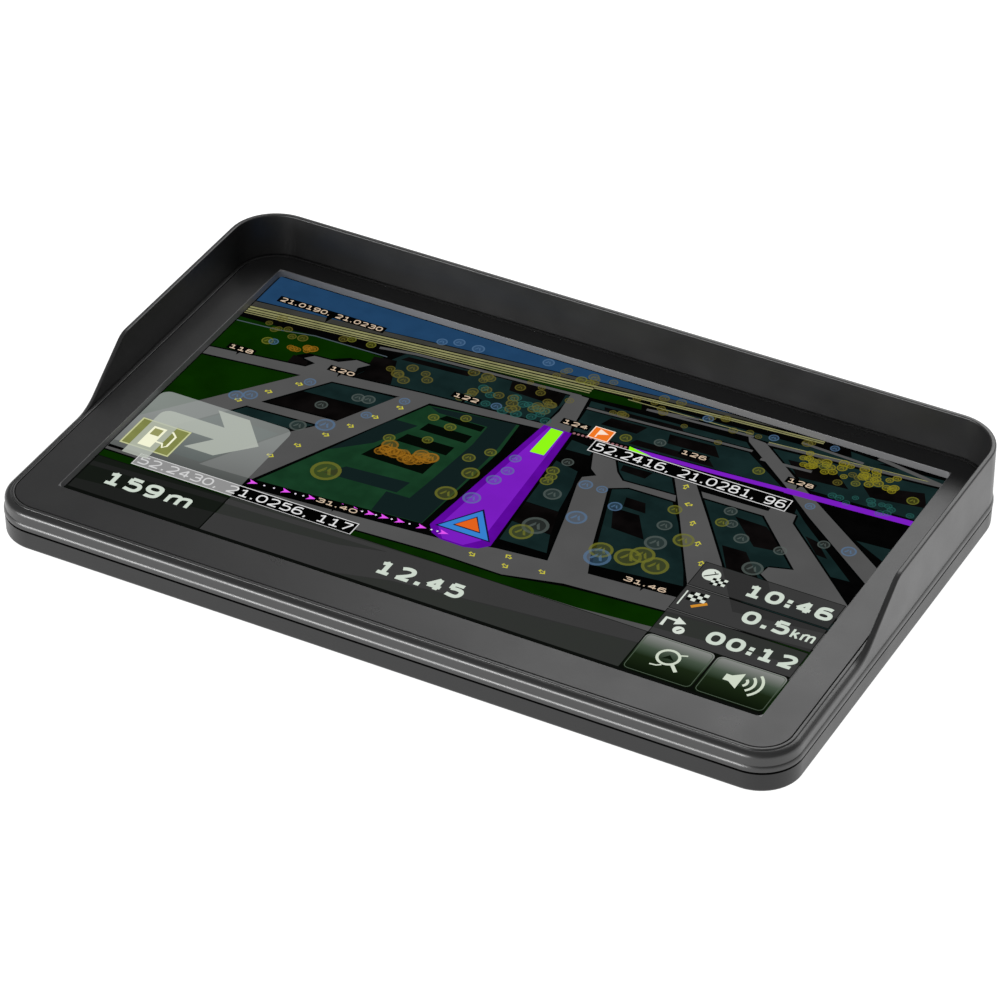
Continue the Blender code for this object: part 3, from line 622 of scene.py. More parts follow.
# The moulded case

class NAVIGATOR_OT_front_frame(bpy.types.Operator):
    """Build the front frame with its visor"""

    bl_idname = "navigator.front_frame"
    bl_label = "Front frame"

    def execute(self, context):
        case = context.scene.navigator_case
        line = self.visor_line(case)
        stops = [point.x for point in line]
        edge = plate_outline(stops)
        half_x, half_y = LEDGE_HALF
        opening = outline(half_x, -half_y, half_y, LEDGE_R, LEDGE_R, stops)
        sections = [self.section(self.rise(line, place.y)) for place, _ in edge]
        loops = []
        for index in range(len(sections[0])):
            loop = []
            for (place, away), (inner, _), section in zip(edge, opening, sections):
                out, height = section[index]
                flat = inner if abs(out - LEDGE_IN) < 0.01 else place + away * out
                loop.append(Vector((*flat, FACE_Z + height)))
            loops.append(loop)
        bm, posts, pilots = bmesh.new(), bmesh.new(), bmesh.new()
        loft(bm, loops, closed=True)
        for x, y in BRACKET_SCREWS:
            side = math.copysign(1, x)
            low_x, high_x = sorted((side * 81.8, side * 85.5))
            add_box(posts, (low_x, y - 2, 6.75), (high_x, y + 2, 11.6))
            add_turned(pilots, (x, y, 6), (0, 0, 1), [(0.85, 0), (0.85, 4)], 16)
        mesh = combined("frame", bm, [("UNION", posts), ("DIFFERENCE", pilots)])
        finish = grained("frame_plastic", case.frame_colour, 0.35, case.grain / MM, gloss=0.8)
        settle("frame_with_visor", mesh, finish.material, replaces=["front_frame"])
        return {"FINISHED"}

    def visor_line(self, case):
        """The visor's side line: (y, rise above the face) from its toe to its crest."""
        half_y = PLATE_HALF[1]
        return rounded_path([
            (-half_y, 0),
            (case.visor_toe / MM, 0, 12.0, 20),
            (case.visor_crest / MM, VISOR_RISE, 5.3, 14),
            (half_y, VISOR_RISE),
        ])[1:-1]

    def rise(self, line, y):
        """The frame's top above the face at y."""
        if y <= line[0].x:
            return 0.0
        for start, end in zip(line, line[1:]):
            if y <= end.x:
                return start.y + (end.y - start.y) * (y - start.x) / (end.x - start.x)
        return VISOR_RISE

    def section(self, rise):
        """The frame's closed section: (distance beyond the plate's edge, height above the face).

        LEDGE_IN stands for the edge of the ledge's opening.
        """
        visor_share = rise / VISOR_RISE
        drop, lip_out = -0.22, 0.7
        top = rise + drop * (1 - visor_share)
        outer_r = 1.25 - 0.8 * visor_share
        inner_r = 0.05 + 0.22 * min(1.0, rise / 2)
        bead_r, bead_top = 1.3, -2.45
        skirt_in, tongue_out = -0.4, 0.5
        seat, ledge, tongue = -1.35, -2.35, -5.7
        foot = FRAME_FOOT_Z - FACE_Z
        shoulder = math.asin(1 - (FRAME_OUT - FRAME_WALL_OUT) / bead_r)
        turns = [math.pi / 2 + (shoulder - math.pi / 2) * step / 7 for step in range(8)]
        bead = [
            (FRAME_OUT - bead_r * (1 - math.sin(turn)), bead_top - bead_r * (1 - math.cos(turn)))
            for turn in turns
        ]
        return rounded_path([
            (FRAME_OUT, foot),
            *bead,
            (FRAME_WALL_OUT, top, outer_r, 9),
            (0.95 + 0.05 * visor_share, top, inner_r, 4),
            (0.9, drop - 0.03),
            (lip_out + 0.02, drop - 0.03),
            (lip_out, 0.0, 0.2, 6),
            (0.03, 0.0, 0.1, 3),
            (0.03, seat),
            (LEDGE_IN, seat),
            (LEDGE_IN, ledge),
            (skirt_in, ledge),
            (skirt_in, tongue),
            (tongue_out, tongue),
            (tongue_out, foot),
        ], closed=True)


class NAVIGATOR_OT_face_plate(bpy.types.Operator):
    """Build the plate round the display's window"""

    bl_idname = "navigator.face_plate"
    bl_label = "Face plate"

    def execute(self, context):
        case = context.scene.navigator_case
        under, foot = PLATE_HIGH.z - 1.2, PLATE_LOW.z
        edge_r, lip_r = 0.15, 0.12
        loops = [grown_loop(-PLATE_GAP, under)]
        loops += [
            grown_loop(-PLATE_GAP - edge_r * (1 - math.cos(turn)), FACE_Z - edge_r * (1 - math.sin(turn)))
            for turn in (math.radians(30 * step) for step in range(4))
        ]
        loops += [
            self.window(case, lip_r * (1 - math.sin(turn)), FACE_Z - lip_r * (1 - math.cos(turn)))
            for turn in (math.radians(30 * step) for step in range(4))
        ]
        loops += [
            self.window(case, 0.0, foot),
            self.window(case, 0.8, foot),
            self.window(case, 0.8, under),
        ]
        bm = bmesh.new()
        loft(bm, loops, closed=True)
        settle("window_plate", bm, self.paint(case), replaces=["face_plate"])
        return {"FINISHED"}

    def paint(self, case):
        """The plate's grained face, with the window's wall painted paler: a painted highlight for the light
        that falls on it.
        """
        finish = grained("plate_plastic", case.plate_colour, 0.3, case.grain / MM)
        aside = finish.away_from("X", 0.0, case.window_width / 2)
        above = finish.away_from("Y", case.window_shift, case.window_height / 2)
        # painted highlight: a paler colour laid on the window's wall, for the light it catches
        edge = finish.between(finish.worked("MAXIMUM", aside, above), 1.0004, 1.001, 1.0, 0.0)
        finish.blend(edge, (0.2, 0.2, 0.205))
        return finish.material

    def window(self, case, grow, z):
        """The window's outline, grown outward, at one height."""
        half_x = case.window_width / MM / 2 + grow
        half_y = case.window_height / MM / 2 + grow
        middle = case.window_shift / MM
        radius = case.window_radius / MM + grow
        return flat_loop(outline(half_x, middle - half_y, middle + half_y, radius, radius), z)


class NAVIGATOR_OT_rear_cover(bpy.types.Operator):
    """Build the rear cover with its port bay, grille and cradle seat"""

    bl_idname = "navigator.rear_cover"
    bl_label = "Rear cover"

    def execute(self, context):
        case = context.scene.navigator_case
        outer = self.wall_loops(0.0, (1.0, 4.0))
        inner = self.wall_loops(COVER_WALL, (0.3, 2.5))
        bm = bmesh.new()
        loft(bm, inner[::-1] + outer)
        mesh = combined("cover", bm, [
            ("UNION", self.bosses()), ("DIFFERENCE", self.recesses()), ("DIFFERENCE", self.holes()),
        ])
        finish = grained("cover_plastic", case.cover_colour, 0.36, case.grain / MM, 0.007, 0.45)
        settle("back_shell", mesh, finish.material, replaces=["rear_cover"])
        return {"FINISHED"}

    def half_section(self, slope, wall, radii):
        """Half of the cover's section, from its rim to its back: (inset, height)."""
        rim, draft = COVER_HIGH.z, 0.1
        knee = SHOULDER_Z + wall / math.cos(slope) - wall * math.tan(slope)
        run = (knee - wall) / math.tan(slope)
        return rounded_path([
            (wall, rim),
            (wall + draft, knee, radii[0], 5),
            (wall + draft + run, wall, radii[1], 8),
            (wall + draft + run + 10, wall),
        ])[:-1]

    def wall_loops(self, wall, radii):
        """Loops down the cover's outer or inner face. The slope is flatter along the front."""
        half_x, half_y = PLATE_HALF[0] + COVER_OUT, PLATE_HALF[1] + COVER_OUT
        front_r, back_r = PLATE_FRONT_R + COVER_OUT, PLATE_BACK_R + COVER_OUT
        sides = self.half_section(SIDE_SLOPE, wall, radii)
        fronts = self.half_section(FRONT_SLOPE, wall, radii)
        loops = []
        for side, front in zip(sides, fronts):
            points = outline(
                half_x - side.x, front.x - half_y, half_y - side.x, front_r - side.x, back_r - side.x
            )
            loop = []
            for place, away in points:
                facing_front = max(0.0, -away.y) ** 2
                loop.append(Vector((place.x, place.y, side.y + (front.y - side.y) * facing_front)))
            loops.append(loop)
        return loops

    def bosses(self):
        """Screw posts, thicker walls behind the ports and the key, and the cradle's thicker seat."""
        bm = bmesh.new()
        for x, y in CASE_SCREWS:
            add_turned(bm, (x, y, 1.0), (0, 0, 1), [(3.2, 0), (3.2, 3.6)])
        add_prism(bm, [(-83.4, 0.8), (-84.3, 0.8), (-86.8, 4.6), (-86.8, 7.7), (-83.4, 7.7)], "y", -31, 32)
        key_wall = [(50.0, 0.8), (50.3, 0.8), (52.8, 4.6), (52.8, 7.7), (50.0, 7.7)]
        add_prism(bm, key_wall, "x", KEY_X - 9, KEY_X + 9)
        add_box(bm, (-33, -25, 1.0), (33, 19, 2.4))
        return bm

    def recesses(self):
        """The cradle's shallow seat, the bay that the ports open into and the key's dish."""
        bm = bmesh.new()
        seats = [(32.35, -1.0), (32.35, 0.0), (32.0, 0.35), (32.0, 0.4)]
        loft(bm, [
            flat_loop(outline(half, -24 - (half - 32), 18 + (half - 32), 4, 4, steps=8), z)
            for half, z in seats
        ])
        add_box(bm, (-90, -29.5, -1), (-85.2, 30.5, 6.6))
        add_box(bm, (KEY_X - 8.5, 53.05, 4.6), (KEY_X + 8.5, 55, 7.5))
        return bm

    def holes(self):
        bm = bmesh.new()
        counterbore = [(2.75, 0), (2.75, 1), (2.4, 1.35), (2.4, 3.4), (1.25, 3.4), (1.25, 7)]
        for x, y in CASE_SCREWS:
            add_turned(bm, (x, y, -1), (0, 0, 1), counterbore)
        for x in (-22, 22):
            for y in (-16, 10):
                add_box(bm, (x - 4.5, y - 1.2, -1), (x + 4.5, y + 1.2, 1.7))
        for row in range(-3, 4):
            self.grille_slot(bm, 50, 31 + 2.6 * row)
        add_box(bm, (-86, USB_Y - 4.1, 1.65), (-83, USB_Y + 4.1, 4.35))
        add_box(bm, (-86, CARD_Y - 6.2, 2.7), (-83, CARD_Y + 6.2, 4.05))
        add_turned(bm, (-86, JACK_Y, 3.8), (1, 0, 0), [(3.1, 0), (3.1, 0.8), (2.6, 1.1), (2.6, 3)])
        add_turned(bm, (-86, PIN_Y, 3.3), (1, 0, 0), [(0.9, 0), (0.9, 0.8), (0.6, 1.1), (0.6, 3)], 16)
        add_box(bm, (KEY_X - 5.25, 49, KEY_Z - 1.25), (KEY_X + 5.25, 55, KEY_Z + 1.25))
        return bm

    def grille_slot(self, bm, x, y):
        """One slot of the speaker's grille, wider at its mouth."""
        loops = []
        for grow, z in ((0.25, -1), (0.25, 0), (0, 0.25), (0, 3)):
            half = 0.65 + grow
            slot = outline(8 + grow, -half, half, half - 0.01, half - 0.01, steps=6)
            loops.append([Vector((place.x + x, place.y + y, z)) for place, _ in slot])
        loft(bm, loops)


# Copies set out by Geometry Nodes

def tree_with(name, inputs):
    """A new tree with named inputs (name, type, default), its group input and its output."""
    tree = bpy.data.node_groups.new(name, "GeometryNodeTree")
    for label, kind, default in inputs:
        socket = tree.interface.new_socket(label, in_out="INPUT", socket_type=f"NodeSocket{kind}")
        if default is not None:
            socket.default_value = default
    tree.interface.new_socket("Copies", in_out="OUTPUT", socket_type="NodeSocketGeometry")
    return tree, tree.nodes.new("NodeGroupInput"), tree.nodes.new("NodeGroupOutput")


def end_tree(tree, copies, finish, output):
    """Makes the copies real and gives them their material, as every tree here ends."""
    realize = tree.nodes.new("GeometryNodeRealizeInstances")
    paint = tree.nodes.new("GeometryNodeSetMaterial")
    tree.links.new(copies, realize.inputs["Geometry"])
    tree.links.new(realize.outputs["Geometry"], paint.inputs["Geometry"])
    tree.links.new(finish, paint.inputs["Material"])
    tree.links.new(paint.outputs["Geometry"], output.inputs["Copies"])


def set_on_points_tree():
    """Sets a copy of Item on each point, sized by its "size" and turned by its "turn"."""
    tree, source, output = tree_with("set_on_points", [
        ("Points", "Geometry", None), ("Item", "Object", None), ("Scale", "Float", 1.0),
        ("Finish", "Material", None),
    ])
    nodes, links = tree.nodes, tree.links
    item = nodes.new("GeometryNodeObjectInfo")
    links.new(source.outputs["Item"], item.inputs["Object"])
    values = {}
    for name in ("size", "turn"):
        node = nodes.new("GeometryNodeInputNamedAttribute")
        node.data_type = "FLOAT"
        node.inputs["Name"].default_value = name
        values[name] = node.outputs["Attribute"]
    scaled = nodes.new("ShaderNodeMath")
    scaled.operation = "MULTIPLY"
    links.new(values["size"], scaled.inputs[0])
    links.new(source.outputs["Scale"], scaled.inputs[1])
    size = nodes.new("ShaderNodeCombineXYZ")
    size.inputs["Z"].default_value = 1.0
    links.new(scaled.outputs["Value"], size.inputs["X"])
    links.new(scaled.outputs["Value"], size.inputs["Y"])
    turn = nodes.new("ShaderNodeCombineXYZ")
    links.new(values["turn"], turn.inputs["Z"])
    rotation = nodes.new("FunctionNodeEulerToRotation")
    links.new(turn.outputs["Vector"], rotation.inputs["Euler"])
    copies = nodes.new("GeometryNodeInstanceOnPoints")
    links.new(source.outputs["Points"], copies.inputs["Points"])
    links.new(item.outputs["Geometry"], copies.inputs["Instance"])
    links.new(rotation.outputs["Rotation"], copies.inputs["Rotation"])
    links.new(size.outputs["Vector"], copies.inputs["Scale"])
    end_tree(tree, copies.outputs["Instances"], source.outputs["Finish"], output)
    return tree


def run_tree(tree, carrier, values):
    """The plain mesh that a tree makes on carrier, with its inputs set by name."""
    modifier = carrier.modifiers.new(tree.name, "NODES")
    modifier.node_group = tree
    for socket in tree.interface.items_tree:
        if socket.in_out == "INPUT" and socket.name in values:
            modifier[socket.identifier] = values[socket.name]
    return evaluated_mesh(carrier)


def set_on_points(name, item_bm, points, finish):
    """A mesh with a copy of item_bm at each (x, y, z, size, turn)."""
    item = linked(f"{name}_item", finished_mesh(f"{name}_item", item_bm))
    mesh = bpy.data.meshes.new(name)
    mesh.from_pydata([[part * MM for part in point[:3]] for point in points], [], [])
    for label, column in (("size", 3), ("turn", 4)):
        attribute = mesh.attributes.new(label, "FLOAT", "POINT")
        attribute.data.foreach_set("value", [point[column] for point in points])
    tree = bpy.data.node_groups.get("set_on_points") or set_on_points_tree()
    made = run_tree(tree, linked(name, mesh), {"Item": item, "Scale": 1.0, "Finish": finish})
    bpy.data.objects.remove(item)
    return made


def row_tree():
    """Sets Count copies of Item in a row, one Step apart."""
    tree, source, output = tree_with("row_of_copies", [
        ("Item", "Object", None), ("Count", "Int", 4), ("Step", "Vector", (0, 0.001, 0)),
        ("Finish", "Material", None),
    ])
    nodes, links = tree.nodes, tree.links
    line = nodes.new("GeometryNodeMeshLine")
    line.mode = "OFFSET"
    links.new(source.outputs["Count"], line.inputs["Count"])
    links.new(source.outputs["Step"], line.inputs["Offset"])
    item = nodes.new("GeometryNodeObjectInfo")
    links.new(source.outputs["Item"], item.inputs["Object"])
    copies = nodes.new("GeometryNodeInstanceOnPoints")
    links.new(line.outputs["Mesh"], copies.inputs["Points"])
    links.new(item.outputs["Geometry"], copies.inputs["Instance"])
    end_tree(tree, copies.outputs["Instances"], source.outputs["Finish"], output)
    return tree


# The display's picture

def lit(name, shade, alpha=1.0, mottle=0.0, size=4.0):
    """A colour of the display. It gives light and reflects faintly; mottle makes it uneven."""
    glow = Color(shade).from_srgb_to_scene_linear()
    finish = Finish(name, (0, 0, 0), 0.22, Alpha=alpha, Emission_Strength=1.0,
                    Specular_IOR_Level=0.0, Emission_Color=(*glow, 1))
    if mottle:
        finish.ramp(finish.noise(size, 3), [
            (0.35, [channel * (1 - mottle) for channel in glow]),
            (0.65, [channel * (1 + mottle) for channel in glow]),
        ], "Emission Color")
    return finish.material


def display(red, green, blue):
    """A display colour from the usual values up to 255."""
    return (red / 255, green / 255, blue / 255)


# The digits' middle lines, in a box from 0 to 1 across and upward
OVALS = {
    "0": [(0.5, 0.5, 0.5, 0.5)],
    "6": [(0.5, 0.3, 0.5, 0.3)],
    "8": [(0.5, 0.77, 0.43, 0.23), (0.5, 0.27, 0.5, 0.27)],
    "9": [(0.5, 0.7, 0.5, 0.3)],
}
STROKES = {
    "1": [[(0.1, 0.84), (0.35, 0.88), (0.55, 1.02)], [(0.55, 1.04), (0.55, 0)], [(0.1, 0), (1, 0)]],
    "2": [
        [(0.02, 0.9), (0.4, 1.03), (0.9, 1.0), (1.05, 0.68), (0.75, 0.4), (0.05, 0.03)],
        [(0, 0), (1, 0)],
    ],
    "3": [
        [(0.05, 0.95), (0.5, 1.03), (1.0, 0.98), (1.0, 0.55), (0.35, 0.53)],
        [(0.35, 0.53), (1.0, 0.55), (1.1, 0.2), (0.8, -0.03), (0.4, -0.02), (0, 0.05)],
    ],
    "4": [[(0.72, 0), (0.72, 1)], [(0.72, 1), (0.0, 0.3)], [(0, 0.28), (1.05, 0.28)]],
    "5": [
        [(0.92, 1), (0.1, 1)], [(0.12, 1), (0.12, 0.56)],
        [(0.1, 0.58), (0.5, 0.65), (1.0, 0.58), (1.05, 0.2), (0.8, -0.03), (0.4, -0.02), (0, 0.05)],
    ],
    "6": [[(0.9, 0.97), (0.6, 1.03), (0.1, 0.95), (0, 0.6), (0, 0.3)]],
    "7": [[(0, 1), (1, 1)], [(0.98, 0.98), (0.3, 0)]],
    "9": [[(0.1, 0.03), (0.4, -0.03), (0.9, 0.05), (1, 0.4), (1, 0.7)]],
    ",": [[(0.6, 0.12), (0.2, -0.14)]],
    "m": [
        [(0, 0), (0, 0.72)], [(0, 0.45), (0.1, 0.72), (0.5, 0.8), (0.5, 0.45), (0.5, 0)],
        [(0.5, 0.45), (0.6, 0.72), (1, 0.8), (1, 0.45), (1, 0)],
    ],
    "k": [[(0, 0), (0, 1)], [(0.05, 0.3), (0.9, 0.74)], [(0.35, 0.45), (1, 0)]],
}
DOTS = {":": (0.12, 0.6), ".": (0.04,)}
SIGN_WIDTHS = {":": 0.32, ".": 0.3, ",": 0.3, " ": 0.4, "m": 1.2, "k": 0.75}
SIGN_GAP = 0.15
RIM_IN = 0.76                     # a round symbol's rim, inside, where its outside is 1


def softened(path, rounds=2):
    """A path with the corners between its two ends cut off, rounder each time."""
    points = [Vector(point) for point in path]
    if len(points) < 3:
        return points
    for _ in range(rounds):
        cut = [points[0]]
        for start, end in zip(points, points[1:]):
            cut += [start.lerp(end, 0.25), start.lerp(end, 0.75)]
        points = cut + [points[-1]]
    return points


class Tiles:
    """Thin closed tiles on one layer of the picture, measured from the window's middle."""

    def __init__(self, context, layer):
        self.bm = bmesh.new()
        self.middle_y = context.scene.navigator_case.window_shift / MM
        self.low = GLASS_TOP + LAYER * (layer + 0.5)

    def placed(self, corners):
        return [(x, y + self.middle_y) for x, y in corners]

    def area(self, corners):
        add_prism(self.bm, self.placed(corners), "z", self.low, self.low + TILE)
        return self

    def box(self, left, foot, right, top):
        return self.area(rectangle(left, foot, right, top))

    def hoop(self, outer, inner):
        """A ring between two outlines of matching corners."""
        add_hoop(self.bm, self.placed(outer), self.placed(inner), self.low, self.low + TILE)
        return self

    def areas(self, shapes):
        for corners in shapes:
            self.area(corners)
        return self

    def strip(self, width, *path):
        """A strip along a path of (x, y) points."""
        points = [Vector(point) for point in path]
        left, right = [], []
        for index, point in enumerate(points):
            before, after = points[max(index - 1, 0)], points[min(index + 1, len(points) - 1)]
            along = (after - before).normalized()
            across = Vector((-along.y, along.x)) * width / 2
            left.append(point + across)
            right.append(point - across)
        return self.area(left + right[::-1])

    def disc(self, x, y, radius, sides=24):
        return self.area(round_outline(x, y, radius, radius, sides))

    def ring(self, x, y, radius, width, sides=24):
        return self.hoop(*(round_outline(x, y, r, r, sides) for r in (radius, radius - width)))

    def arc(self, x, y, radius, width, start, end, steps=12):
        """Part of a ring, between two angles in degrees."""
        turns = [math.radians(start + (end - start) * step / steps) for step in range(steps + 1)]
        rims = [
            [(x + r * math.cos(a), y + r * math.sin(a)) for a in turns]
            for r in (radius + width / 2, radius - width / 2)
        ]
        return self.area(rims[0] + rims[1][::-1])

    def frame(self, low, high, width, radius=0.0):
        """A thin frame along a box's edge."""
        return self.hoop(*(
            rounded_box((low[0] + inset, low[1] + inset), (high[0] - inset, high[1] - inset),
                        max(radius - inset, 0.01), 4)
            for inset in (0, width)
        ))

    def digits(self, text, low, high, weight):
        """Digits and signs that fill the box between two corners, with strokes weight wide."""
        widths = [SIGN_WIDTHS.get(sign, 0.78) for sign in text]
        unit = (high[0] - low[0]) / (sum(widths) + SIGN_GAP * (len(text) - 1))
        tall = high[1] - low[1]
        at = low[0]
        for sign, width in zip(text, widths):
            left, across = at + weight / 2, width * unit - weight
            foot, upward = low[1] + weight / 2, tall - weight
            for x, y, half_x, half_y in OVALS.get(sign, ()):
                middle = (left + x * across, foot + y * upward)
                self.oval(*middle, half_x * across, half_y * upward, weight)
            for stroke in STROKES.get(sign, ()):
                path = [(left + x * across, foot + y * upward) for x, y in stroke]
                self.strip(weight, *softened(path))
            for y in DOTS.get(sign, ()):
                x, height = left + across / 2, foot + y * upward
                reach = weight * 0.55
                self.box(x - reach, height - reach, x + reach, height + reach)
            at += (width + SIGN_GAP) * unit
        return self

    def oval(self, x, y, half_x, half_y, width, sides=28):
        """The ring of a round digit, squarer than an ellipse."""
        return self.hoop(*(
            round_outline(x, y, half_x + grow, half_y + grow, sides, 0.85)
            for grow in (width / 2, -width / 2)
        ))

    def piece(self, name, finish):
        return settle(name, self.bm, finish)


class NAVIGATOR_OT_map_ground(bpy.types.Operator):
    """Lay the map's ground, sky, parks and blocks"""

    bl_idname = "navigator.map_ground"
    bl_label = "Map ground"

    sky = [(-77.5, 33.8), (-60, 35.3), (-37, 37.9), (-12, 40.3), (8, 42.2), (29, 44.1), (-77.5, 44.1)]
    parks = [
        [(-77.5, 11.2), (-55.6, 13.9), (-69, -3.4), (-77.5, -14)],
        [(-77.5, 27.0), (-66, 27.6), (-60, 28.3), (-44, 28.0), (-42, 27.0), (-46, 24.4), (-49.5, 24.6),
         (-53, 22.3), (-58, 22), (-60, 20.2), (-56.4, 17.4), (-77.5, 14.7)],
        [(-29, 35.4), (0, 38.4), (11, 39.0), (12, 36.6), (2, 35.6), (-28.5, 34.0)],
        [(-77.5, -27.4), (-20, -27.6), (-2, -26.6), (13, -26.8), (26, -23.9), (46, -22.2), (77.4, -19.8),
         (77.4, -25), (46, -27.6), (31, -29), (-20, -29.8), (-47, -30.3), (-77.5, -32.2)],
        [(-77.5, -33), (-47, -31.5), (-10, -30), (-20, -33), (-47, -35.4), (-60, -37), (-77.5, -38.5)],
        [(-20, -42.5), (-5, -38.5), (46, -33.2), (77.4, -30), (77.4, -42.5)],
    ]
    blocks = [
        [(-49, 14.9), (-34.5, 16.4), (-36.8, 10.7), (-52.2, 9.5)],
        [(-60, -0.9), (-43.2, 0.3), (-47.7, -4.5), (-53, -14), (-58, -22), (-75, -22)],
        [(-40, 31.4), (-2.8, 34.0), (-3.2, 22.6), (-30, 20.8), (-46.2, 18.4), (-44.5, 22), (-42, 27.4)],
        [(4.4, 20.4), (10, 19.8), (10, 17.2), (4.7, 16.9)],
        [(4.9, 12.5), (10.4, 11.2), (11.8, 6), (13.2, -2.7), (6, -2.7)],
        [(6.6, -9.8), (15.4, -10.4), (17.6, -16.2), (7.2, -16.4)],
        [(19.2, 9.3), (22.4, 10.8), (31.8, 11), (40, -0.5), (46, -13), (27.2, -15.4)],
        [(15.8, 18), (28, 18.3), (31, 13.6), (19.8, 13), (17.6, 15.3)],
        [(37, 14.8), (49.8, 15.0), (62.2, 2), (58, 0.6), (57.4, -2.2), (59.6, -4), (51, -4.2)],
        [(54.6, 20.6), (58, 17.3), (74, 3.8), (68, 3.3), (55.9, 14.8)],
        [(2.2, 31.2), (38, 33.4), (49, 25.8), (2.9, 23.4)],
        [(1.6, 34.4), (36, 36.5), (37.6, 34.9), (2, 32.5)],
        [(41, 37.0), (77.4, 40.2), (77.4, 28.4), (54.5, 27.6)],
        [(14, 39.2), (46, 40.9), (77.4, 43.4), (77.4, 42), (40, 38.6)],
        [(56, 43.6), (64, 43), (62, 41.9), (57, 41.8)],
        [(69.5, 16.6), (77.4, 17.2), (77.4, 12.6)],
        [(62, -8.5), (77.4, -10), (77.4, -12.5), (58, -12)],
    ]
    yards = [
        [(-51.9, 9.3), (-37, 10.4), (-41, 3.6), (-57.4, 2.2)],
        [(-61, -3.6), (-47.2, -3.4), (-48.5, -6), (-62.5, -6)],
        [(-39, 30.6), (-24, 32.0), (-25, 30.2), (-40, 29)],
        [(-16, 33), (-4, 34), (-3.4, 29.5), (-15, 29.8)],
        [(-45.5, 27.4), (-40.5, 28.2), (-37.5, 20.1), (-46, 18.5), (-44.6, 21.6)],
        [(-60.5, 20.0), (-57, 19.7), (-56, 17.5), (-60.4, 17)],
        [(5, 33.8), (22, 34.9), (23, 33.9), (5.5, 32.8)],
        [(8, 31), (16, 31.5), (15, 28.5), (7, 28)],
        [(21, 31.6), (31, 32.2), (33.5, 28.9), (22, 28.5)],
        [(16, 26.6), (32, 27.4), (34, 25.4), (15, 24.7)],
        [(23, 8), (27.3, 8), (28.8, 4.9), (23.8, 5)],
        [(22.2, 3.7), (28, 3.8), (32.4, -3), (25, -2.6)],
        [(45, 12.5), (52, 12.3), (59.3, 6.4), (52.5, 5.2)],
        [(46.8, 2.7), (52, 2.9), (57.8, -3.8), (51, -4)],
        [(6, -2.9), (13.4, -2.9), (15.4, -10.2), (6.6, -9.7)],
        [(17.5, 17.6), (24, 17.9), (23.4, 15.4), (17.8, 15.6)],
        [(46, 35), (56, 36), (61, 31.5), (50, 30.5)],
        [(63, 34), (75, 37.5), (77.4, 33), (66, 31)],
        [(60, 13.2), (63, 12.6), (67, 8.4), (64.5, 8.6)],
    ]

    def execute(self, context):
        picture = context.scene.navigator_picture
        half_x, half_y = PICTURE_HALF
        ground = lit("map_ground", picture.ground, mottle=0.3)
        Tiles(context, 0).box(-half_x, -half_y, half_x, half_y).piece("map_ground", ground)
        Tiles(context, 1).area(self.sky).piece("map_sky", lit("map_sky", picture.sky, mottle=0.06))
        park = lit("map_park", picture.park, mottle=0.16, size=7)
        Tiles(context, 1).areas(self.parks).piece("map_parks", park)
        block = lit("map_block", picture.block, mottle=0.2, size=6)
        Tiles(context, 1).areas(self.blocks).piece("map_blocks", block)
        yard = lit("map_yard", display(10, 8, 8), mottle=0.4, size=5)
        Tiles(context, 2).areas(self.yards).piece("map_yards", yard)
        self.green_block(context, picture)
        return {"FINISHED"}

    def green_block(self, context, picture):
        """The block beside the route, with its lawns, roofs and yards."""
        base = [(-27, 17.2), (-7.4, 20.2), (-6.6, 10), (-8.8, -19.2), (-45, -22)]
        lawns = lit("map_lawn", picture.green_block, mottle=0.15, size=5)
        Tiles(context, 2).area(base).piece("green_block", lawns)
        roofs = [
            [(-26.4, 17), (-8, 19.8), (-7.4, 9.6), (-8.9, -19), (-19.8, -19.8), (-20.2, -13), (-15, -12.8),
             (-14, -4.6), (-12.6, 9.4), (-12.8, 16.2), (-24, 15.8)],
            [(-31, 9.6), (-25.5, 9.8), (-30.5, 0.4), (-36, -4.6), (-37.6, -6)],
            [(-31.4, -9.4), (-17.4, -8.2), (-18.2, -12.4), (-34.5, -13.4)],
        ]
        Tiles(context, 3).areas(roofs).piece("green_block_roofs", lit("map_roof", display(17, 31, 31)))
        yards = [
            [(-22, 15.7), (-13.2, 15.9), (-13.2, 14), (-23, 13.9)],
            [(-24, 11.6), (-14, 11.8), (-14.1, 9), (-24.6, 8.8)],
            [(-26, 6.3), (-15.3, 6.6), (-15.5, 3.4), (-27, 3.2)],
            [(-29, 0.6), (-16.2, 0.6), (-16.6, -4.4), (-30.8, -4.4)],
        ]
        Tiles(context, 4).areas(yards).piece("green_block_yards", lit("map_courtyard", display(4, 9, 5)))


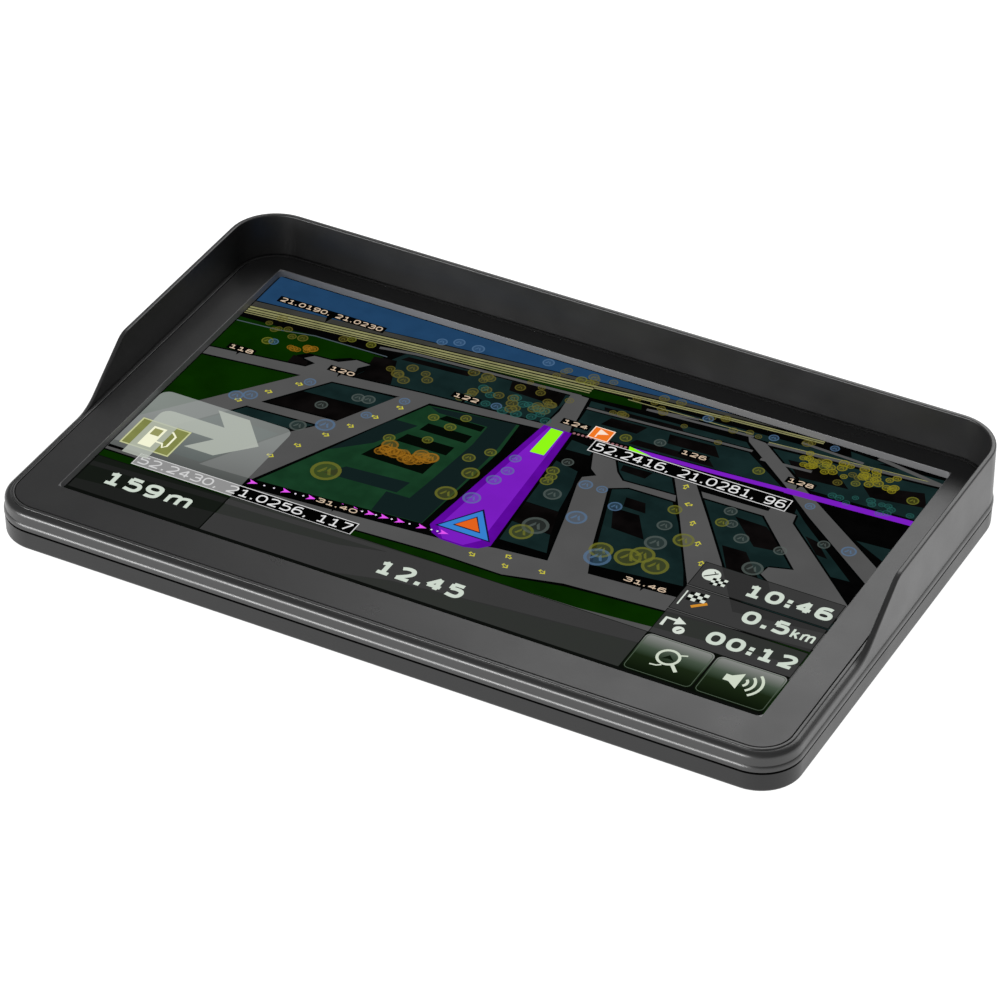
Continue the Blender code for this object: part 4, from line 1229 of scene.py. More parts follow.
class NAVIGATOR_OT_map_streets(bpy.types.Operator):
    """Lay the map's streets, the far road and the route"""

    bl_idname = "navigator.map_streets"
    bl_label = "Map streets"

    streets = [
        [(-77.5, 14.3), (-56.2, 17.3), (-30, 20.4), (-2.6, 22.6), (-2.8, 20.8), (-27.3, 17.9),
         (-48.6, 15.2), (-55.4, 14.2), (-77.5, 11.5)],
        [(-56.3, 17.2), (-55, 19.3), (-58, 19.9), (-56.4, 21.6), (-51, 22), (-48, 24.4), (-44.6, 24.2),
         (-46.4, 22), (-46.1, 20.5), (-48.8, 17.4)],
        [(-55.4, 14.3), (-48.6, 15.3), (-58, 1.9), (-59.8, -0.5), (-72, -17.5), (-77.5, -25), (-77.5, -14)],
        [(-58, 2.0), (-41, 3.4), (-43, 0.5), (-59.8, -0.6)],
        [(-34.2, 16.6), (-31.8, 18.6), (-27.2, 17.9), (-46, -22.3), (-58, -22.8), (-47.5, -4.5),
         (-41, 3.2)],
        [(-77.5, -25.6), (-46.5, -25.2), (-3, -21.8), (8, -19.4), (18.9, -18.2), (27.8, -18.2),
         (46.5, -16.8), (58, -15.8), (77.4, -13.5), (77.4, -19.2), (46, -21.7), (25, -23.3), (13, -26.4),
         (-2, -26.2), (-20, -27.2), (-77.5, -27)],
        [(10.3, 18.4), (12.4, 13.3), (14.4, 11.7), (12.1, 9.9), (12.3, 7.4), (14.9, -2), (18.9, -18.3),
         (27.8, -18.3), (24.5, -10), (21.5, -0.5), (18.4, 9), (22, 11.1), (32.3, 11.3), (31.5, 13.2),
         (19.8, 12.6), (17.5, 14.8), (15.4, 18.2)],
        [(28.6, 18.4), (33.5, 18.4), (41, 8.5), (49.2, -2.6), (58, -15.8), (46.5, -16.9), (46.4, -12),
         (32.6, 11.8)],
        [(35.4, 16.8), (50.2, 17.2), (50.2, 15.4), (36.6, 15.1)],
        [(50, 18.6), (55.5, 18.6), (56, 15.8), (77.4, -4), (77.4, -8.2), (62, -7), (60, -3.8), (57.6, -2.2),
         (58, 0.4), (62.8, 2), (50, 15.3)],
        [(35.5, 38.4), (39.6, 38), (50, 29.8), (77.4, 9.8), (77.4, 4.2), (58, 19.2), (49.8, 26.2),
         (36.4, 36.8)],
        [(-3.2, 35), (0.8, 35), (2.4, 25), (2.8, 22.2), (-2.9, 22.2), (-2.4, 28)],
        [(-77.5, -31.9), (-47, -30.2), (-20, -29.7), (31, -28.9), (46, -27.5), (77.4, -25), (77.4, -29.9),
         (46, -33.1), (20, -35.6), (-5, -38.4), (-20, -42.4), (-77.5, -42.4), (-77.5, -38.6), (-47, -35.5),
         (-20, -33.1), (-10, -30.6), (-47, -31.9), (-77.5, -33.4)],
    ]
    lanes = [
        (0.8, (-46, 30.7), (-38, 32.2), (-1, 34.9)), (0.7, (2, 31.8), (38.4, 34.2)),
        (0.7, (13, 37.1), (36.5, 38.8)), (0.6, (13.5, 37.2), (24, 39)), (0.8, (40, 38), (77.4, 41.2)),
        (0.7, (46, 41.6), (60, 40.9)), (1.0, (62, 44), (77.4, 41.4)), (0.8, (41, 32.5), (52, 33.4)),
    ]

    def execute(self, context):
        picture = context.scene.navigator_picture
        street = lit("map_street", picture.road, mottle=0.05, size=12)
        tiles = Tiles(context, 4).areas(self.streets)
        for width, *path in self.lanes:
            tiles.strip(width, *path)
        tiles.piece("map_streets", street)
        kerbs = Tiles(context, 3)
        for corners in self.streets[:-1]:
            for start, end in zip(corners, corners[1:]):
                kerbs.strip(0.9, start, end)
        kerbs.piece("map_kerbs", lit("map_kerb", display(2, 3, 3)))
        self.far_road(context, picture)
        self.route(context, picture)
        self.shadow_row(context)
        return {"FINISHED"}

    def far_road(self, context, picture):
        """The embankment and its striped road, which run to the horizon."""
        bank = [(-77.5, 33.4), (-37, 37.6), (8, 41.9), (27, 43.9), (40, 44.1), (8, 41.0), (-37, 36.2),
                (-77.5, 31.6)]
        Tiles(context, 2).area(bank).piece("far_bank", lit("far_bank", display(58, 58, 54), mottle=0.1))
        lines = Tiles(context, 3)
        for width, rise in ((0.55, 31.1), (0.6, 30.2), (0.4, 29.4), (0.25, 28.7)):
            lines.strip(width, (-77.5, rise), (-37, rise + 4.4), (0, rise + 8.4 - 0.12 * (31.1 - rise)))
        for width, rise in ((0.4, 39.5), (0.35, 38.9)):
            lines.strip(width, (0, rise), (30, rise + 3), (50, rise + 4.5))
        lines.strip(0.22, (40, 38.6), (77.4, 41.8)).strip(0.22, (8, 38.5), (36, 39.6))
        lines.piece("far_road_lines", lit("far_road", picture.rail, mottle=0.12, size=3))
        shore = lit("far_shore", display(70, 82, 88))
        path = Tiles(context, 2).strip(0.3, (-77.5, 25.5), (-68, 26.4), (-60, 28.1), (-43, 28.5))
        path.piece("shore_path", shore)

    def route(self, context, picture):
        """The planned route in its two tones, with the bright marks at its turn."""
        edge = [(-3, 22.3), (3.4, 22.3), (6.8, -19.3), (5, -21.2), (2.2, -22.1), (-3, -22), (-5.6, -20.8),
                (-7.2, -18.6)]
        sides = lit("route_edge", picture.route_edge, mottle=0.08)
        Tiles(context, 5).area(edge).piece("route_edges", sides)
        core = Tiles(context, 6).area([(-1.8, 22), (1.9, 22), (4.3, -18.6), (1.8, -21.6), (-2.8, -21.6),
                                       (-5.4, -18.4)])
        core.strip(1.3, (16.5, 23.0), (34, 23.9), (50, 25.1)).strip(1.7, (50, 25.1), (77.5, 26.9))
        core.piece("route_core", lit("route_core", picture.route, mottle=0.05, size=10))
        marks = Tiles(context, 7).area([(-1.1, 21.9), (1.6, 21.9), (1.9, 12.8), (-1.2, 12.6)])
        marks.area([(15.8, 23.8), (16.2, 22.5), (21.2, 22.7)])
        marks.piece("turn_marks", lit("turn_mark", picture.mark))
        dotted = Tiles(context, 6)
        for step in range(13):
            dotted.disc(3.8 + step * 0.95, 22.5 + step * 0.05, 0.35, 6)
        dotted.piece("hidden_route", lit("hidden_route", display(150, 105, 110)))
        arrow = [(0, -9.2), (6.2, -18.4), (-6.2, -18.4)]
        Tiles(context, 8).area(arrow).piece("position_rim", lit("position_rim", display(20, 20, 60)))
        blue = [(0, -9.9), (5.6, -18.1), (-5.6, -18.1)]
        Tiles(context, 9).area(blue).piece("position_arrow", lit("position_blue", display(54, 128, 206)))
        rim = [(0, -12.0), (3.1, -16.7), (-3.1, -16.7)]
        Tiles(context, 10).area(rim).piece("position_inset", lit("position_inset", display(40, 30, 40)))
        heart = [(0, -12.5), (2.7, -16.4), (-2.7, -16.4)]
        Tiles(context, 11).area(heart).piece("position_heart", lit("position_orange", display(226, 98, 30)))

    def shadow_row(self, context):
        """The dark foot of the blocks along the near street, where the walking line runs."""
        shadow = lit("map_shadow", display(3, 3, 3))
        Tiles(context, 5).areas([
            [(-77.4, -26.2), (-46.4, -25.2), (-7.4, -21.4), (-7, -19), (-45.6, -22.2), (-77.4, -23.6)],
            [(27.3, -15.3), (46.2, -13), (46.3, -16.7), (27.9, -18.1)],
            [(7, -16.4), (17.8, -16.1), (18.6, -18.1), (9, -18.1), (6.9, -19)],
        ]).piece("block_shadows", shadow)


class NAVIGATOR_OT_map_symbols(bpy.types.Operator):
    """Scatter the map's round symbols, arrows and walking line"""

    bl_idname = "navigator.map_symbols"
    bl_label = "Map symbols"

    yellow = [
        (26.6, -10.2, 2.5), (32.3, -9.8, 2.8), (38.3, -9.8, 2.8), (34.5, -7.8, 2.6), (10, -12.3, 2.5),
        (39.5, 0.4, 2.2), (43.6, 9.3, 1.4), (33.5, 8.7, 1.5), (6, 8.9, 1.4), (6.6, 6.9, 1.3),
        (6.5, 5.2, 1.4), (53.5, 36, 1.1), (74, 33.9, 1.3), (42.5, 28.5, 1.3), (-11, 4.8, 1.4),
        (-24, 13.8, 1.2), (-18, 16.6, 1.2), (-34.2, -12.8, 3.2), (-8.2, 0.3, 1.9), (-9.3, -8, 2.3),
        (-8, 8.5, 1.3), (-67.8, 21.7, 1.3), (-52.5, 30.4, 1.0), (-48, 30.6, 1.1), (-19.4, 12.4, 1.3),
        (-21.3, 6.3, 1.2), (13.8, 26, 1.3), (-3.5, 40.1, 1.2), (-1.6, 39.9, 1.1), (61.5, 33.8, 1.0),
        (-28.5, 3.2, 1.3),
    ]
    blue = [
        (17.4, -2.9, 2.2), (14, 7.8, 1.5), (17.6, 7.9, 1.2), (-52.5, 12.8, 1.3), (-61, 3, 1.6),
        (-63.6, 1.5, 1.6), (-42.2, 1, 2.1), (-32, 16, 1.2), (-36.5, 8, 1.2), (69.8, 12.5, 1.6),
        (56.7, 22.5, 1.1), (27, -12.6, 2.8), (-4, -7, 1.9), (-3, 0.5, 1.6), (-2.6, 9, 1.3), (-2, 4.5, 1.4),
        (22.5, 4, 1.5), (-12.4, 42.4, 1.3), (-27.6, 39.9, 1.4), (-32.2, 40.1, 1.3), (-35.5, 38.6, 1.2),
        (25.6, 40, 1.2), (40.3, 40.3, 1.1), (52.8, 42.8, 1.0), (-66.5, 22, 1.1), (-14.6, 23.4, 1.2),
    ]
    grey = [
        (9.6, 1.8, 1.9), (11.5, -9.2, 2.8), (35, -3, 2.3), (34, 3, 1.6), (49.3, 6.3, 1.6),
        (55.5, -1.5, 2.2), (57.8, 6.3, 1.4), (43.5, 13.5, 1.4), (64.5, 12.2, 1.3), (7.3, 12.9, 1.3),
        (20.7, 27.8, 1.3), (45.5, 9.8, 1.3), (-47, -1.8, 1.8), (-41, 12.6, 1.4), (-38.8, 13, 1.5),
        (-46.4, 6.8, 1.4),
    ]
    arrows = [
        (-54.2, 11.1, -1.0), (-58.4, 5.8, -1.0), (-62.4, 0.3, -1.0), (-31.8, 13.6, -1.2),
        (-34.7, 8.3, -1.2), (-40.5, -1.9, -1.2), (-43.7, -7.8, -1.2), (-46.8, -13.5, -1.2),
        (38.6, 6.2, 0.6), (42.5, 0.6, 0.6), (45.9, -4.9, 0.6), (4.8, -23.4, -1.6), (12.3, -23.7, -1.6),
        (19.6, -22.0, -1.5), (11.7, -20.8, 1.6), (35.2, 11.6, 2.2), (32, 16.6, 0.5), (-37.6, 3.2, -1.3),
    ]

    def execute(self, context):
        self.level = GLASS_TOP + LAYER * 9.5
        self.middle_y = context.scene.navigator_case.window_shift / MM
        chance = random.Random(7)
        clusters = {
            "yellow": self.cluster(chance, 38, (48, 72), (34.5, 39.6), 0.95),
            "amber": self.cluster(chance, 22, (-28.5, -17.5), (-1.6, 1.6), 1.5)
            + self.cluster(chance, 9, (-62.5, -57.5), (21.2, 23.6), 0.9),
            "olive": self.cluster(chance, 30, (-43, -4), (22.5, 32.5), 1.2)
            + self.cluster(chance, 14, (-10, 48), (38.6, 42.6), 1.0)
            + self.cluster(chance, 22, (-14, 76), (31.5, 42.5), 0.9)
            + self.cluster(chance, 8, (-76, -50), (24.5, 30.5), 1.0),
            "teal": self.cluster(chance, 16, (-22, -3), (22.6, 29), 1.1)
            + self.cluster(chance, 12, (58, 76), (26.6, 31.5), 0.9),
        }
        groups = [
            ("rings_yellow", self.yellow, display(112, 114, 40), 0.42),
            ("rings_blue", self.blue, display(84, 116, 150), 0.36),
            ("rings_grey", self.grey, display(88, 98, 94), 0.34),
            ("rings_gold", clusters["yellow"], display(132, 124, 30), 0.5),
            ("rings_amber", clusters["amber"], display(158, 108, 28), 0.34),
            ("rings_olive", clusters["olive"], display(104, 98, 40), 0.36),
            ("rings_teal", clusters["teal"], display(40, 96, 90), 0.34),
        ]
        for name, places, shade, alpha in groups:
            self.rings(name, places, lit(name, shade, alpha))
            self.discs(name.replace("rings", "discs"), places, shade, alpha * 0.26)
        self.street_arrows()
        self.walking_line()
        return {"FINISHED"}

    def cluster(self, chance, count, across, upward, radius):
        """Rings scattered in a box, each a little larger or smaller."""
        return [
            (chance.uniform(*across), chance.uniform(*upward), radius * chance.uniform(0.8, 1.2))
            for _ in range(count)
        ]

    def scatter(self, name, item, places, finish, lower=0.0):
        """A copy of item at each (x, y, size, turn) on the map, as one piece."""
        points = [
            (x, y + self.middle_y, self.level - lower, size, turn) for x, y, size, turn in places
        ]
        settle(name, set_on_points(name, item, points, finish), finish)

    def rings(self, name, places, finish):
        """A round symbol at each place: a rim with a small sign in its middle."""
        item = bmesh.new()
        add_hoop(item, *(round_outline(0, 0, r, r, 20) for r in (1, RIM_IN)), 0, TILE)
        for side in (-1, 1):
            sign = [(0.12 * side, 0.42), (0.5 * side, -0.3), (0.3 * side, -0.34), (0.05 * side, 0.1)]
            add_prism(item, sign, "z", 0, TILE)
        self.scatter(name, item, [(*place, 0) for place in places], finish)

    def discs(self, name, places, shade, alpha):
        """A faint disc behind each round symbol."""
        item = bmesh.new()
        add_turned(item, (0, 0, 0), (0, 0, 1), [(RIM_IN, 0), (RIM_IN, TILE)], 16)
        self.scatter(name, item, [(*place, 0) for place in places], lit(name, shade, alpha))

    def street_arrows(self):
        """Small double arrows that show which way the streets run."""
        item = bmesh.new()
        head = [(-0.75, 0.15), (0, 1.0), (0.75, 0.15), (0.3, 0.15), (0.3, -0.7), (-0.3, -0.7), (-0.3, 0.15)]
        inner = [(x * 0.55, y * 0.55 + 0.02) for x, y in head]
        add_hoop(item, head, inner, 0, TILE)
        places = [(x, y, 1.0, -0.5 + turn) for x, y, turn in self.arrows]
        self.scatter("street_arrows", item, places, lit("street_arrow", display(196, 190, 62)), LAYER)

    def walking_line(self):
        """Chevrons and dots along the near street."""
        start, end = Vector((-46, -23.3)), Vector((-3, -19.9))
        along = (end - start).normalized()
        turn = math.atan2(along.y, along.x)
        chevron = bmesh.new()
        add_prism(chevron, [(-0.9, 0.8), (1.1, 0), (-0.9, -0.8), (-0.4, 0)], "z", 0, TILE)
        shares = (0.02, 0.19, 0.32, 0.41, 0.49, 0.55, 0.62, 0.69, 0.77, 0.88, 0.99)
        places = [(*start.lerp(end, at), 1.0, turn) for at in shares]
        self.scatter("chevrons", chevron, places, lit("chevron", display(226, 84, 238)))
        dot = bmesh.new()
        add_turned(dot, (0, 0, 0), (0, 0, 1), [(0.22, 0), (0.22, TILE)], 8)
        gaps = (0.08, 0.13, 0.24, 0.28, 0.45, 0.58, 0.65, 0.73, 0.82, 0.93, 0.96)
        places = [(*start.lerp(end, at), 1.0, 0) for at in gaps]
        self.scatter("walking_dots", dot, places, lit("walking_dot", display(235, 225, 240)))


class NAVIGATOR_OT_screen_panels(bpy.types.Operator):
    """Lay the panels, signs, keys and digits over the map"""

    bl_idname = "navigator.screen_panels"
    bl_label = "Screen panels"

    left, right, foot, shelf = -77.4, 76.8, -41.9, -29.4
    panel_edge, column_edge = -46.6, 46.5

    def execute(self, context):
        self.context = context
        self.picture = context.scene.navigator_picture
        self.labels()
        self.flag()
        self.bars()
        self.turn_panel()
        self.keys()
        self.column_signs()
        self.readings()
        return {"FINISHED"}

    def tiles(self, layer):
        return Tiles(self.context, layer)

    def labels(self):
        """Plates for street numbers, with the small ones in the far view."""
        plates, rims, words = self.tiles(10), self.tiles(11), self.tiles(12)
        for low, high, text, inset in (
            ((-70, -29.3), (-19.4, -25.3), "52.2430, 21.0256, 117", 0.8),
            ((8.8, 18.4), (53, 22.5), "52.2416, 21.0281, 96", 0.7),
        ):
            plates.box(*low, *high)
            rims.frame(low, high, 0.2)
            words.digits(text, (low[0] + 0.7, low[1] + inset), (high[0] - 0.7, high[1] - 0.7), 0.36)
        self.small_labels(plates)
        plates.area([(-70.5, -25.4), (-67.5, -25.4), (-69, -24)])
        plates.piece("label_plates", lit("label_plate", display(3, 3, 3)))
        rims.piece("label_rims", lit("label_rim", display(215, 215, 215)))
        words.piece("label_digits", lit("label_digit", display(225, 225, 225)))

    def small_labels(self, plates):
        words = self.tiles(12)
        for x, y, text in (
            (-71, 16.4, "118"), (-48.5, 19.3, "120"), (-21.4, 23, "122"), (2.7, 25.3, "124"),
            (28.7, 27.1, "126"), (51.8, 28.6, "128"), (-26.4, -22.1, "31.40"), (39.3, -16.2, "31.46"),
        ):
            half = 1.15 * len(text) ** 0.9 + 0.1
            plates.box(x - half, y - 1, x + half, y + 1)
            plates.area([(x - 0.4, y - 1), (x, y - 2.3), (x + 0.4, y - 1)])
            words.digits(text, (x - half + 0.4, y - 0.7), (x + half - 0.4, y + 0.7), 0.26)
        plates.box(-73.6, 35.4, -48, 37.6)
        plates.area([(-61.3, 35.5), (-60.6, 33.2), (-59.9, 35.5)])
        words.digits("21.0190, 21.0230", (-73, 35.75), (-48.6, 37.25), 0.25)
        words.piece("street_digits", lit("street_digit", display(206, 184, 160)))

    def flag(self):
        """The goal's flag."""
        low, high = (6.6, 22.7), (11.2, 26.8)
        self.tiles(10).box(*low, *high).piece("goal_plate", lit("goal_plate", display(238, 118, 34)))
        signs = self.tiles(11).frame(low, high, 0.22)
        signs.area([(8.0, 23.3), (8.3, 23.3), (8.3, 24.3), (10.3, 25.2), (8.3, 26.2), (8.0, 26.2)])
        signs.piece("goal_sign", lit("goal_sign", display(250, 225, 205)))

    def bars(self):
        """The see-through bars along the display's foot and beside it."""
        veil = self.tiles(13)
        veil.box(self.panel_edge + 0.2, self.foot, self.column_edge - 0.2, self.shelf)
        rows = ((-12.2, -3.9), (-20.6, -12.5), (self.shelf, -20.9))
        for bottom, top in rows:
            veil.box(self.column_edge, bottom, self.right, top)
        veil.piece("see_through_bars", lit("veil", display(52, 52, 52), 0.6))
        dark = self.tiles(13).box(self.left, self.foot, self.panel_edge, -29.8)
        dark.piece("distance_panel", lit("dark_veil", display(22, 24, 22), 0.72))
        lines = self.tiles(14)
        lines.frame((self.left, self.foot), (self.panel_edge, -29.8), 0.22)
        lines.frame((self.panel_edge, self.foot), (self.column_edge, -29.3), 0.15)
        for bottom, top in rows:
            lines.frame((self.column_edge, bottom), (self.right, top), 0.16)
        half_x, half_y = PICTURE_HALF
        lines.box(-half_x, -half_y, half_x, self.foot)
        lines.piece("panel_lines", lit("panel_line", display(12, 14, 12)))

    def turn_panel(self):
        """The glassy panel with the next turn, and the sign beside it."""
        low, high = (self.left, -29.6), (self.panel_edge, -3.9)
        corners = [(low[0], -25.5), (high[0], -25.5), *rounded_box(low, high, 2.2)[7:21]]
        finish = Finish("turn_glass", (0, 0, 0), 0.2, Emission_Strength=1.0,
                        Specular_IOR_Level=0.0, Emission_Color=(0.5, 0.54, 0.52, 1))
        across = finish.between(finish.axis("X"), low[0] * MM, high[0] * MM, 1.0, 0.72)
        upward = finish.between(finish.axis("Y"), low[1] * MM, -8 * MM, 0.05, 0.26)
        finish.links.new(finish.worked("MULTIPLY", across, upward), finish.shader.inputs["Alpha"])
        self.tiles(14).area(corners).piece("turn_panel", finish.material)
        glass = self.tiles(15).box(-69.9, -29.2, -46.7, -25.5)
        glass.piece("label_glass", lit("label_glass", display(190, 190, 190), 0.32))
        low, high = (-76, -24), (-64.6, -14.4)
        sign = self.tiles(15).box(*low, *high)
        sign.piece("lane_sign", lit("lane_sign", display(128, 133, 74), mottle=0.08))
        rim = self.tiles(16).frame(low, high, 0.35)
        rim.piece("lane_sign_rim", lit("lane_sign_rim", display(196, 200, 150)))
        bend = [(-59.6, -9.8), (-63.8, -5.1), (-56.4, -5.1), (-50.2, -12.2), (-56.8, -19.2), (-63.6, -19.2),
                (-59.4, -14.3), (-68, -14.3), (-68, -26.6), (-73.8, -26.6), (-73.8, -12)]
        bend += [(-71.6 - 2.2 * math.cos(a), -12 + 2.2 * math.sin(a)) for a in (0.4, 0.8, 1.2)]
        bend += [(-71.4, -9.8)]
        self.tiles(17).area(bend).piece("turn_arrow", lit("turn_arrow", display(186, 192, 182), 0.48))
        fuel = self.tiles(18)
        fuel.box(-72.4, -22.9, -69.4, -16)
        fuel.strip(0.45, (-69.4, -20.6), (-67.9, -20.6), (-67.3, -21.8), (-66.6, -21), (-66.6, -17.4),
                   (-68, -16.2))
        fuel.piece("lane_sign_pump", lit("lane_sign_pump", display(244, 244, 214)))
        window = self.tiles(19).box(-71.9, -18.9, -69.9, -16.6)
        window.piece("pump_window", lit("pump_window", display(150, 152, 96)))

    def key_face(self, name, low, high):
        """A key on the display, lighter at its top and dark in its lower half."""
        finish = Finish(name, (0, 0, 0), 0.2, Emission_Strength=1.0, Specular_IOR_Level=0.0)
        shift = self.context.scene.navigator_case.window_shift
        upward = finish.between(finish.axis("Y"), low[1] * MM + shift, high[1] * MM + shift)
        shades = [
            (0.0, display(10, 18, 7)), (0.42, display(26, 38, 20)), (0.5, display(44, 58, 42)),
            (0.66, display(70, 83, 69)), (0.95, display(132, 134, 131)),
        ]
        finish.ramp(upward, [(at, Color(shade).from_srgb_to_scene_linear()) for at, shade in shades],
                    "Emission Color")
        self.tiles(15).area(rounded_box(low, high, 1.3)).piece(name, finish.material)

    def keys(self):
        """The two keys at the display's lower right."""
        search, sound = ((46.7, -41.6), (61.4, -29.6)), ((61.9, -41.6), (76.7, -29.6))
        self.key_face("search_key", *search)
        self.key_face("sound_key", *sound)
        backs = self.tiles(14)
        backs.box(self.column_edge, self.foot, self.right, self.shelf)
        backs.piece("key_gap", lit("key_gap", display(9, 12, 8)))
        rims = self.tiles(16)
        for low, high in (search, sound):
            rims.frame((low[0] + 0.25, low[1] + 0.25), (high[0] - 0.25, high[1] - 0.25), 0.14, 1.1)
        rims.piece("key_rims", lit("key_rim", display(78, 92, 76)))
        signs = self.tiles(17)
        signs.ring(53.6, -34.8, 2.5, 0.6).strip(0.75, (55.1, -36.4), (56.8, -38.3))
        signs.strip(0.35, (55.4, -33.3), (56.8, -32.7))
        signs.strip(0.35, (51.2, -38.2), (52.6, -38), (53.4, -37.4))
        signs.area([(65.6, -34), (66.8, -34), (68.9, -32.4), (68.9, -37.4), (66.8, -35.9), (65.6, -35.9)])
        for radius in (1.4, 2.9, 4.4):
            signs.arc(68.9, -34.9, radius, 0.6, -48, 48)
        signs.piece("key_signs", lit("key_sign", display(206, 216, 198)))
        lens = self.tiles(17).area([(52.4, -35.7), (53.6, -34), (55, -35.4), (53.7, -35.2)])
        lens.piece("search_sign", lit("search_sign", display(14, 24, 12)))

    def column_signs(self):
        """Small signs beside the readings: clock and flag, goal flag, turn and clock."""
        white, black = self.tiles(14), self.tiles(15)
        white.disc(49.4, -7.3, 1.9).disc(51.5, -26.2, 1.2, 16)
        black.strip(0.3, (48.2, -8.4), (50.5, -6.4)).strip(0.2, (49.5, -6.1), (50.1, -6.7))
        black.strip(0.25, (51.2, -26.6), (51.9, -25.7))
        for x, y, step in ((50.2, -10.2, 0.75), (48.3, -16.8, 0.95)):
            for column in range(4):
                for row in range(3):
                    layer = white if (column + row) % 2 else black
                    corner_x, corner_y = x + column * step, y + row * step + 0.15 * column
                    layer.box(corner_x, corner_y, corner_x + step, corner_y + step)
        white.box(47.4, -18.8, 47.7, -14)
        white.strip(0.7, (47.7, -26.2), (47.7, -23.6), (50, -23.6))
        white.area([(49.8, -22.4), (52, -23.8), (49.8, -25.0)])
        white.piece("column_signs", lit("column_sign", display(214, 222, 212)))
        black.piece("column_sign_marks", lit("column_sign_mark", display(12, 14, 12)))
        pencil = self.tiles(16).strip(0.8, (50.3, -18.4), (52.8, -16.2))
        pencil.piece("goal_pencil", lit("goal_pencil", display(206, 140, 44)))

    def readings(self):
        """Time, distance and road number, in bold digits."""
        words = self.tiles(18)
        for text, low, high, weight in (
            ("159", (-72, -37.7), (-59, -33.3), 0.95), ("m", (-57.6, -37.7), (-52.2, -33.4), 0.85),
            ("12.45", (-9.6, -37.8), (9.6, -33.4), 1.0), ("10:46", (57.4, -10.3), (76, -6.2), 0.95),
            ("0.5", (60.5, -18.2), (70.4, -14.1), 0.95), ("km", (71.1, -18.2), (76, -15.1), 0.5),
            ("00:12", (57.2, -27.3), (76, -23.2), 0.95),
        ):
            words.digits(text, low, high, weight)
        words.piece("reading_digits", lit("reading_digit", self.picture.letters))


# The parts behind the display and on the board

def coat(finish, *nodes):
    """Gives the CAD nodes their finish."""
    for node in nodes:
        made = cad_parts[node]
        for place in made.material_slots:
            place.material = finish.material


def numbered(name, count):
    return [f"{name}_{number + 1}" for number in range(count)]


class NAVIGATOR_OT_screen_stack(bpy.types.Operator):
    """Finish the glass, the display and the soft parts round them"""

    bl_idname = "navigator.screen_stack"
    bl_label = "Screen stack"

    def execute(self, context):
        glass = Finish("touch_glass", (0.002, 0.002, 0.0022), 0.12, IOR=1.5)
        glass.tint(glass.noise(60, 2), 0.8, 1.2)
        glass.rough(glass.noise(14, 3), 0.1, 0.16)
        coat(glass, "touch_panel")
        cell = Finish("display_cell", (0.012, 0.013, 0.016), 0.18, IOR=1.5)
        cell.ramp(cell.bands(0.16, "X"), [(0.2, (0.008, 0.009, 0.012)), (0.8, (0.016, 0.017, 0.02))])
        cell.rough(cell.noise(20, 2), 0.16, 0.22)
        coat(cell, "display_panel")
        foam = Finish("black_foam", (0.012, 0.012, 0.012), 0.95)
        foam.tint(foam.cells(0.35), 0.5, 1.5)
        foam.bump(foam.cells(0.3), 0.08)
        coat(foam, "panel_gasket", "speaker_gasket")
        self.cloth()
        self.ribbons()
        return {"FINISHED"}

    def cloth(self):
        """The dust cloth over the speaker, a plain weave."""
        cloth = Finish("speaker_cloth", (0.014, 0.014, 0.015), 0.9, Sheen_Weight=0.2)
        weave = cloth.worked("MULTIPLY", cloth.bands(0.28, "X"), cloth.bands(0.28, "Y"))
        cloth.tint(weave, 0.4, 1.6)
        cloth.bump(weave, 0.06)
        coat(cloth, "speaker_cloth")

    def ribbons(self):
        """Amber film over flat copper lines."""
        film = Finish("ribbon_film", (0.42, 0.17, 0.03), 0.3, IOR=1.5)
        film.ramp(film.bands(0.5, "X"), [(0.35, (0.30, 0.10, 0.016)), (0.6, (0.5, 0.22, 0.045))])
        film.bump(film.bands(0.5, "X"), 0.02)
        coat(film, "display_cable", "touch_cable")


class NAVIGATOR_OT_metal_parts(bpy.types.Operator):
    """Finish the pressed, plated and turned metal"""

    bl_idname = "navigator.metal_parts"
    bl_label = "Metal parts"

    def execute(self, context):
        steel = Finish("pressed_steel", (0.55, 0.55, 0.53), 0.34, 1.0)
        steel.tint(steel.noise(12, 4), 0.85, 1.1)
        rolled = steel.noise(0.6, 3, steel.stretched((1, 14, 14)))
        steel.rough(rolled, 0.26, 0.42)
        steel.bump(rolled, 0.004)
        coat(steel, "backlight_unit", "display_bracket", "shield_can", "usb_socket", "card_socket",
             "power_switch", "reset_switch")
        screw = Finish("screw_steel", (0.05, 0.05, 0.053), 0.38, 0.85)
        screw.tint(screw.noise(0.9, 3), 0.7, 1.3)
        screw.rough(screw.noise(0.5, 3), 0.3, 0.46)
        screw.bump(screw.noise(0.12, 2), 0.006)
        coat(screw, *numbered("case_screw", 4), *numbered("bracket_screw", 4), *numbered("board_screw", 3))
        foil = Finish("silver_foil", (0.72, 0.71, 0.68), 0.28, 1.0)
        foil.rough(foil.noise(1.5, 4), 0.2, 0.4)
        foil.bump(foil.noise(1.2, 3), 0.02)
        coat(foil, "antenna_foil")
        return {"FINISHED"}


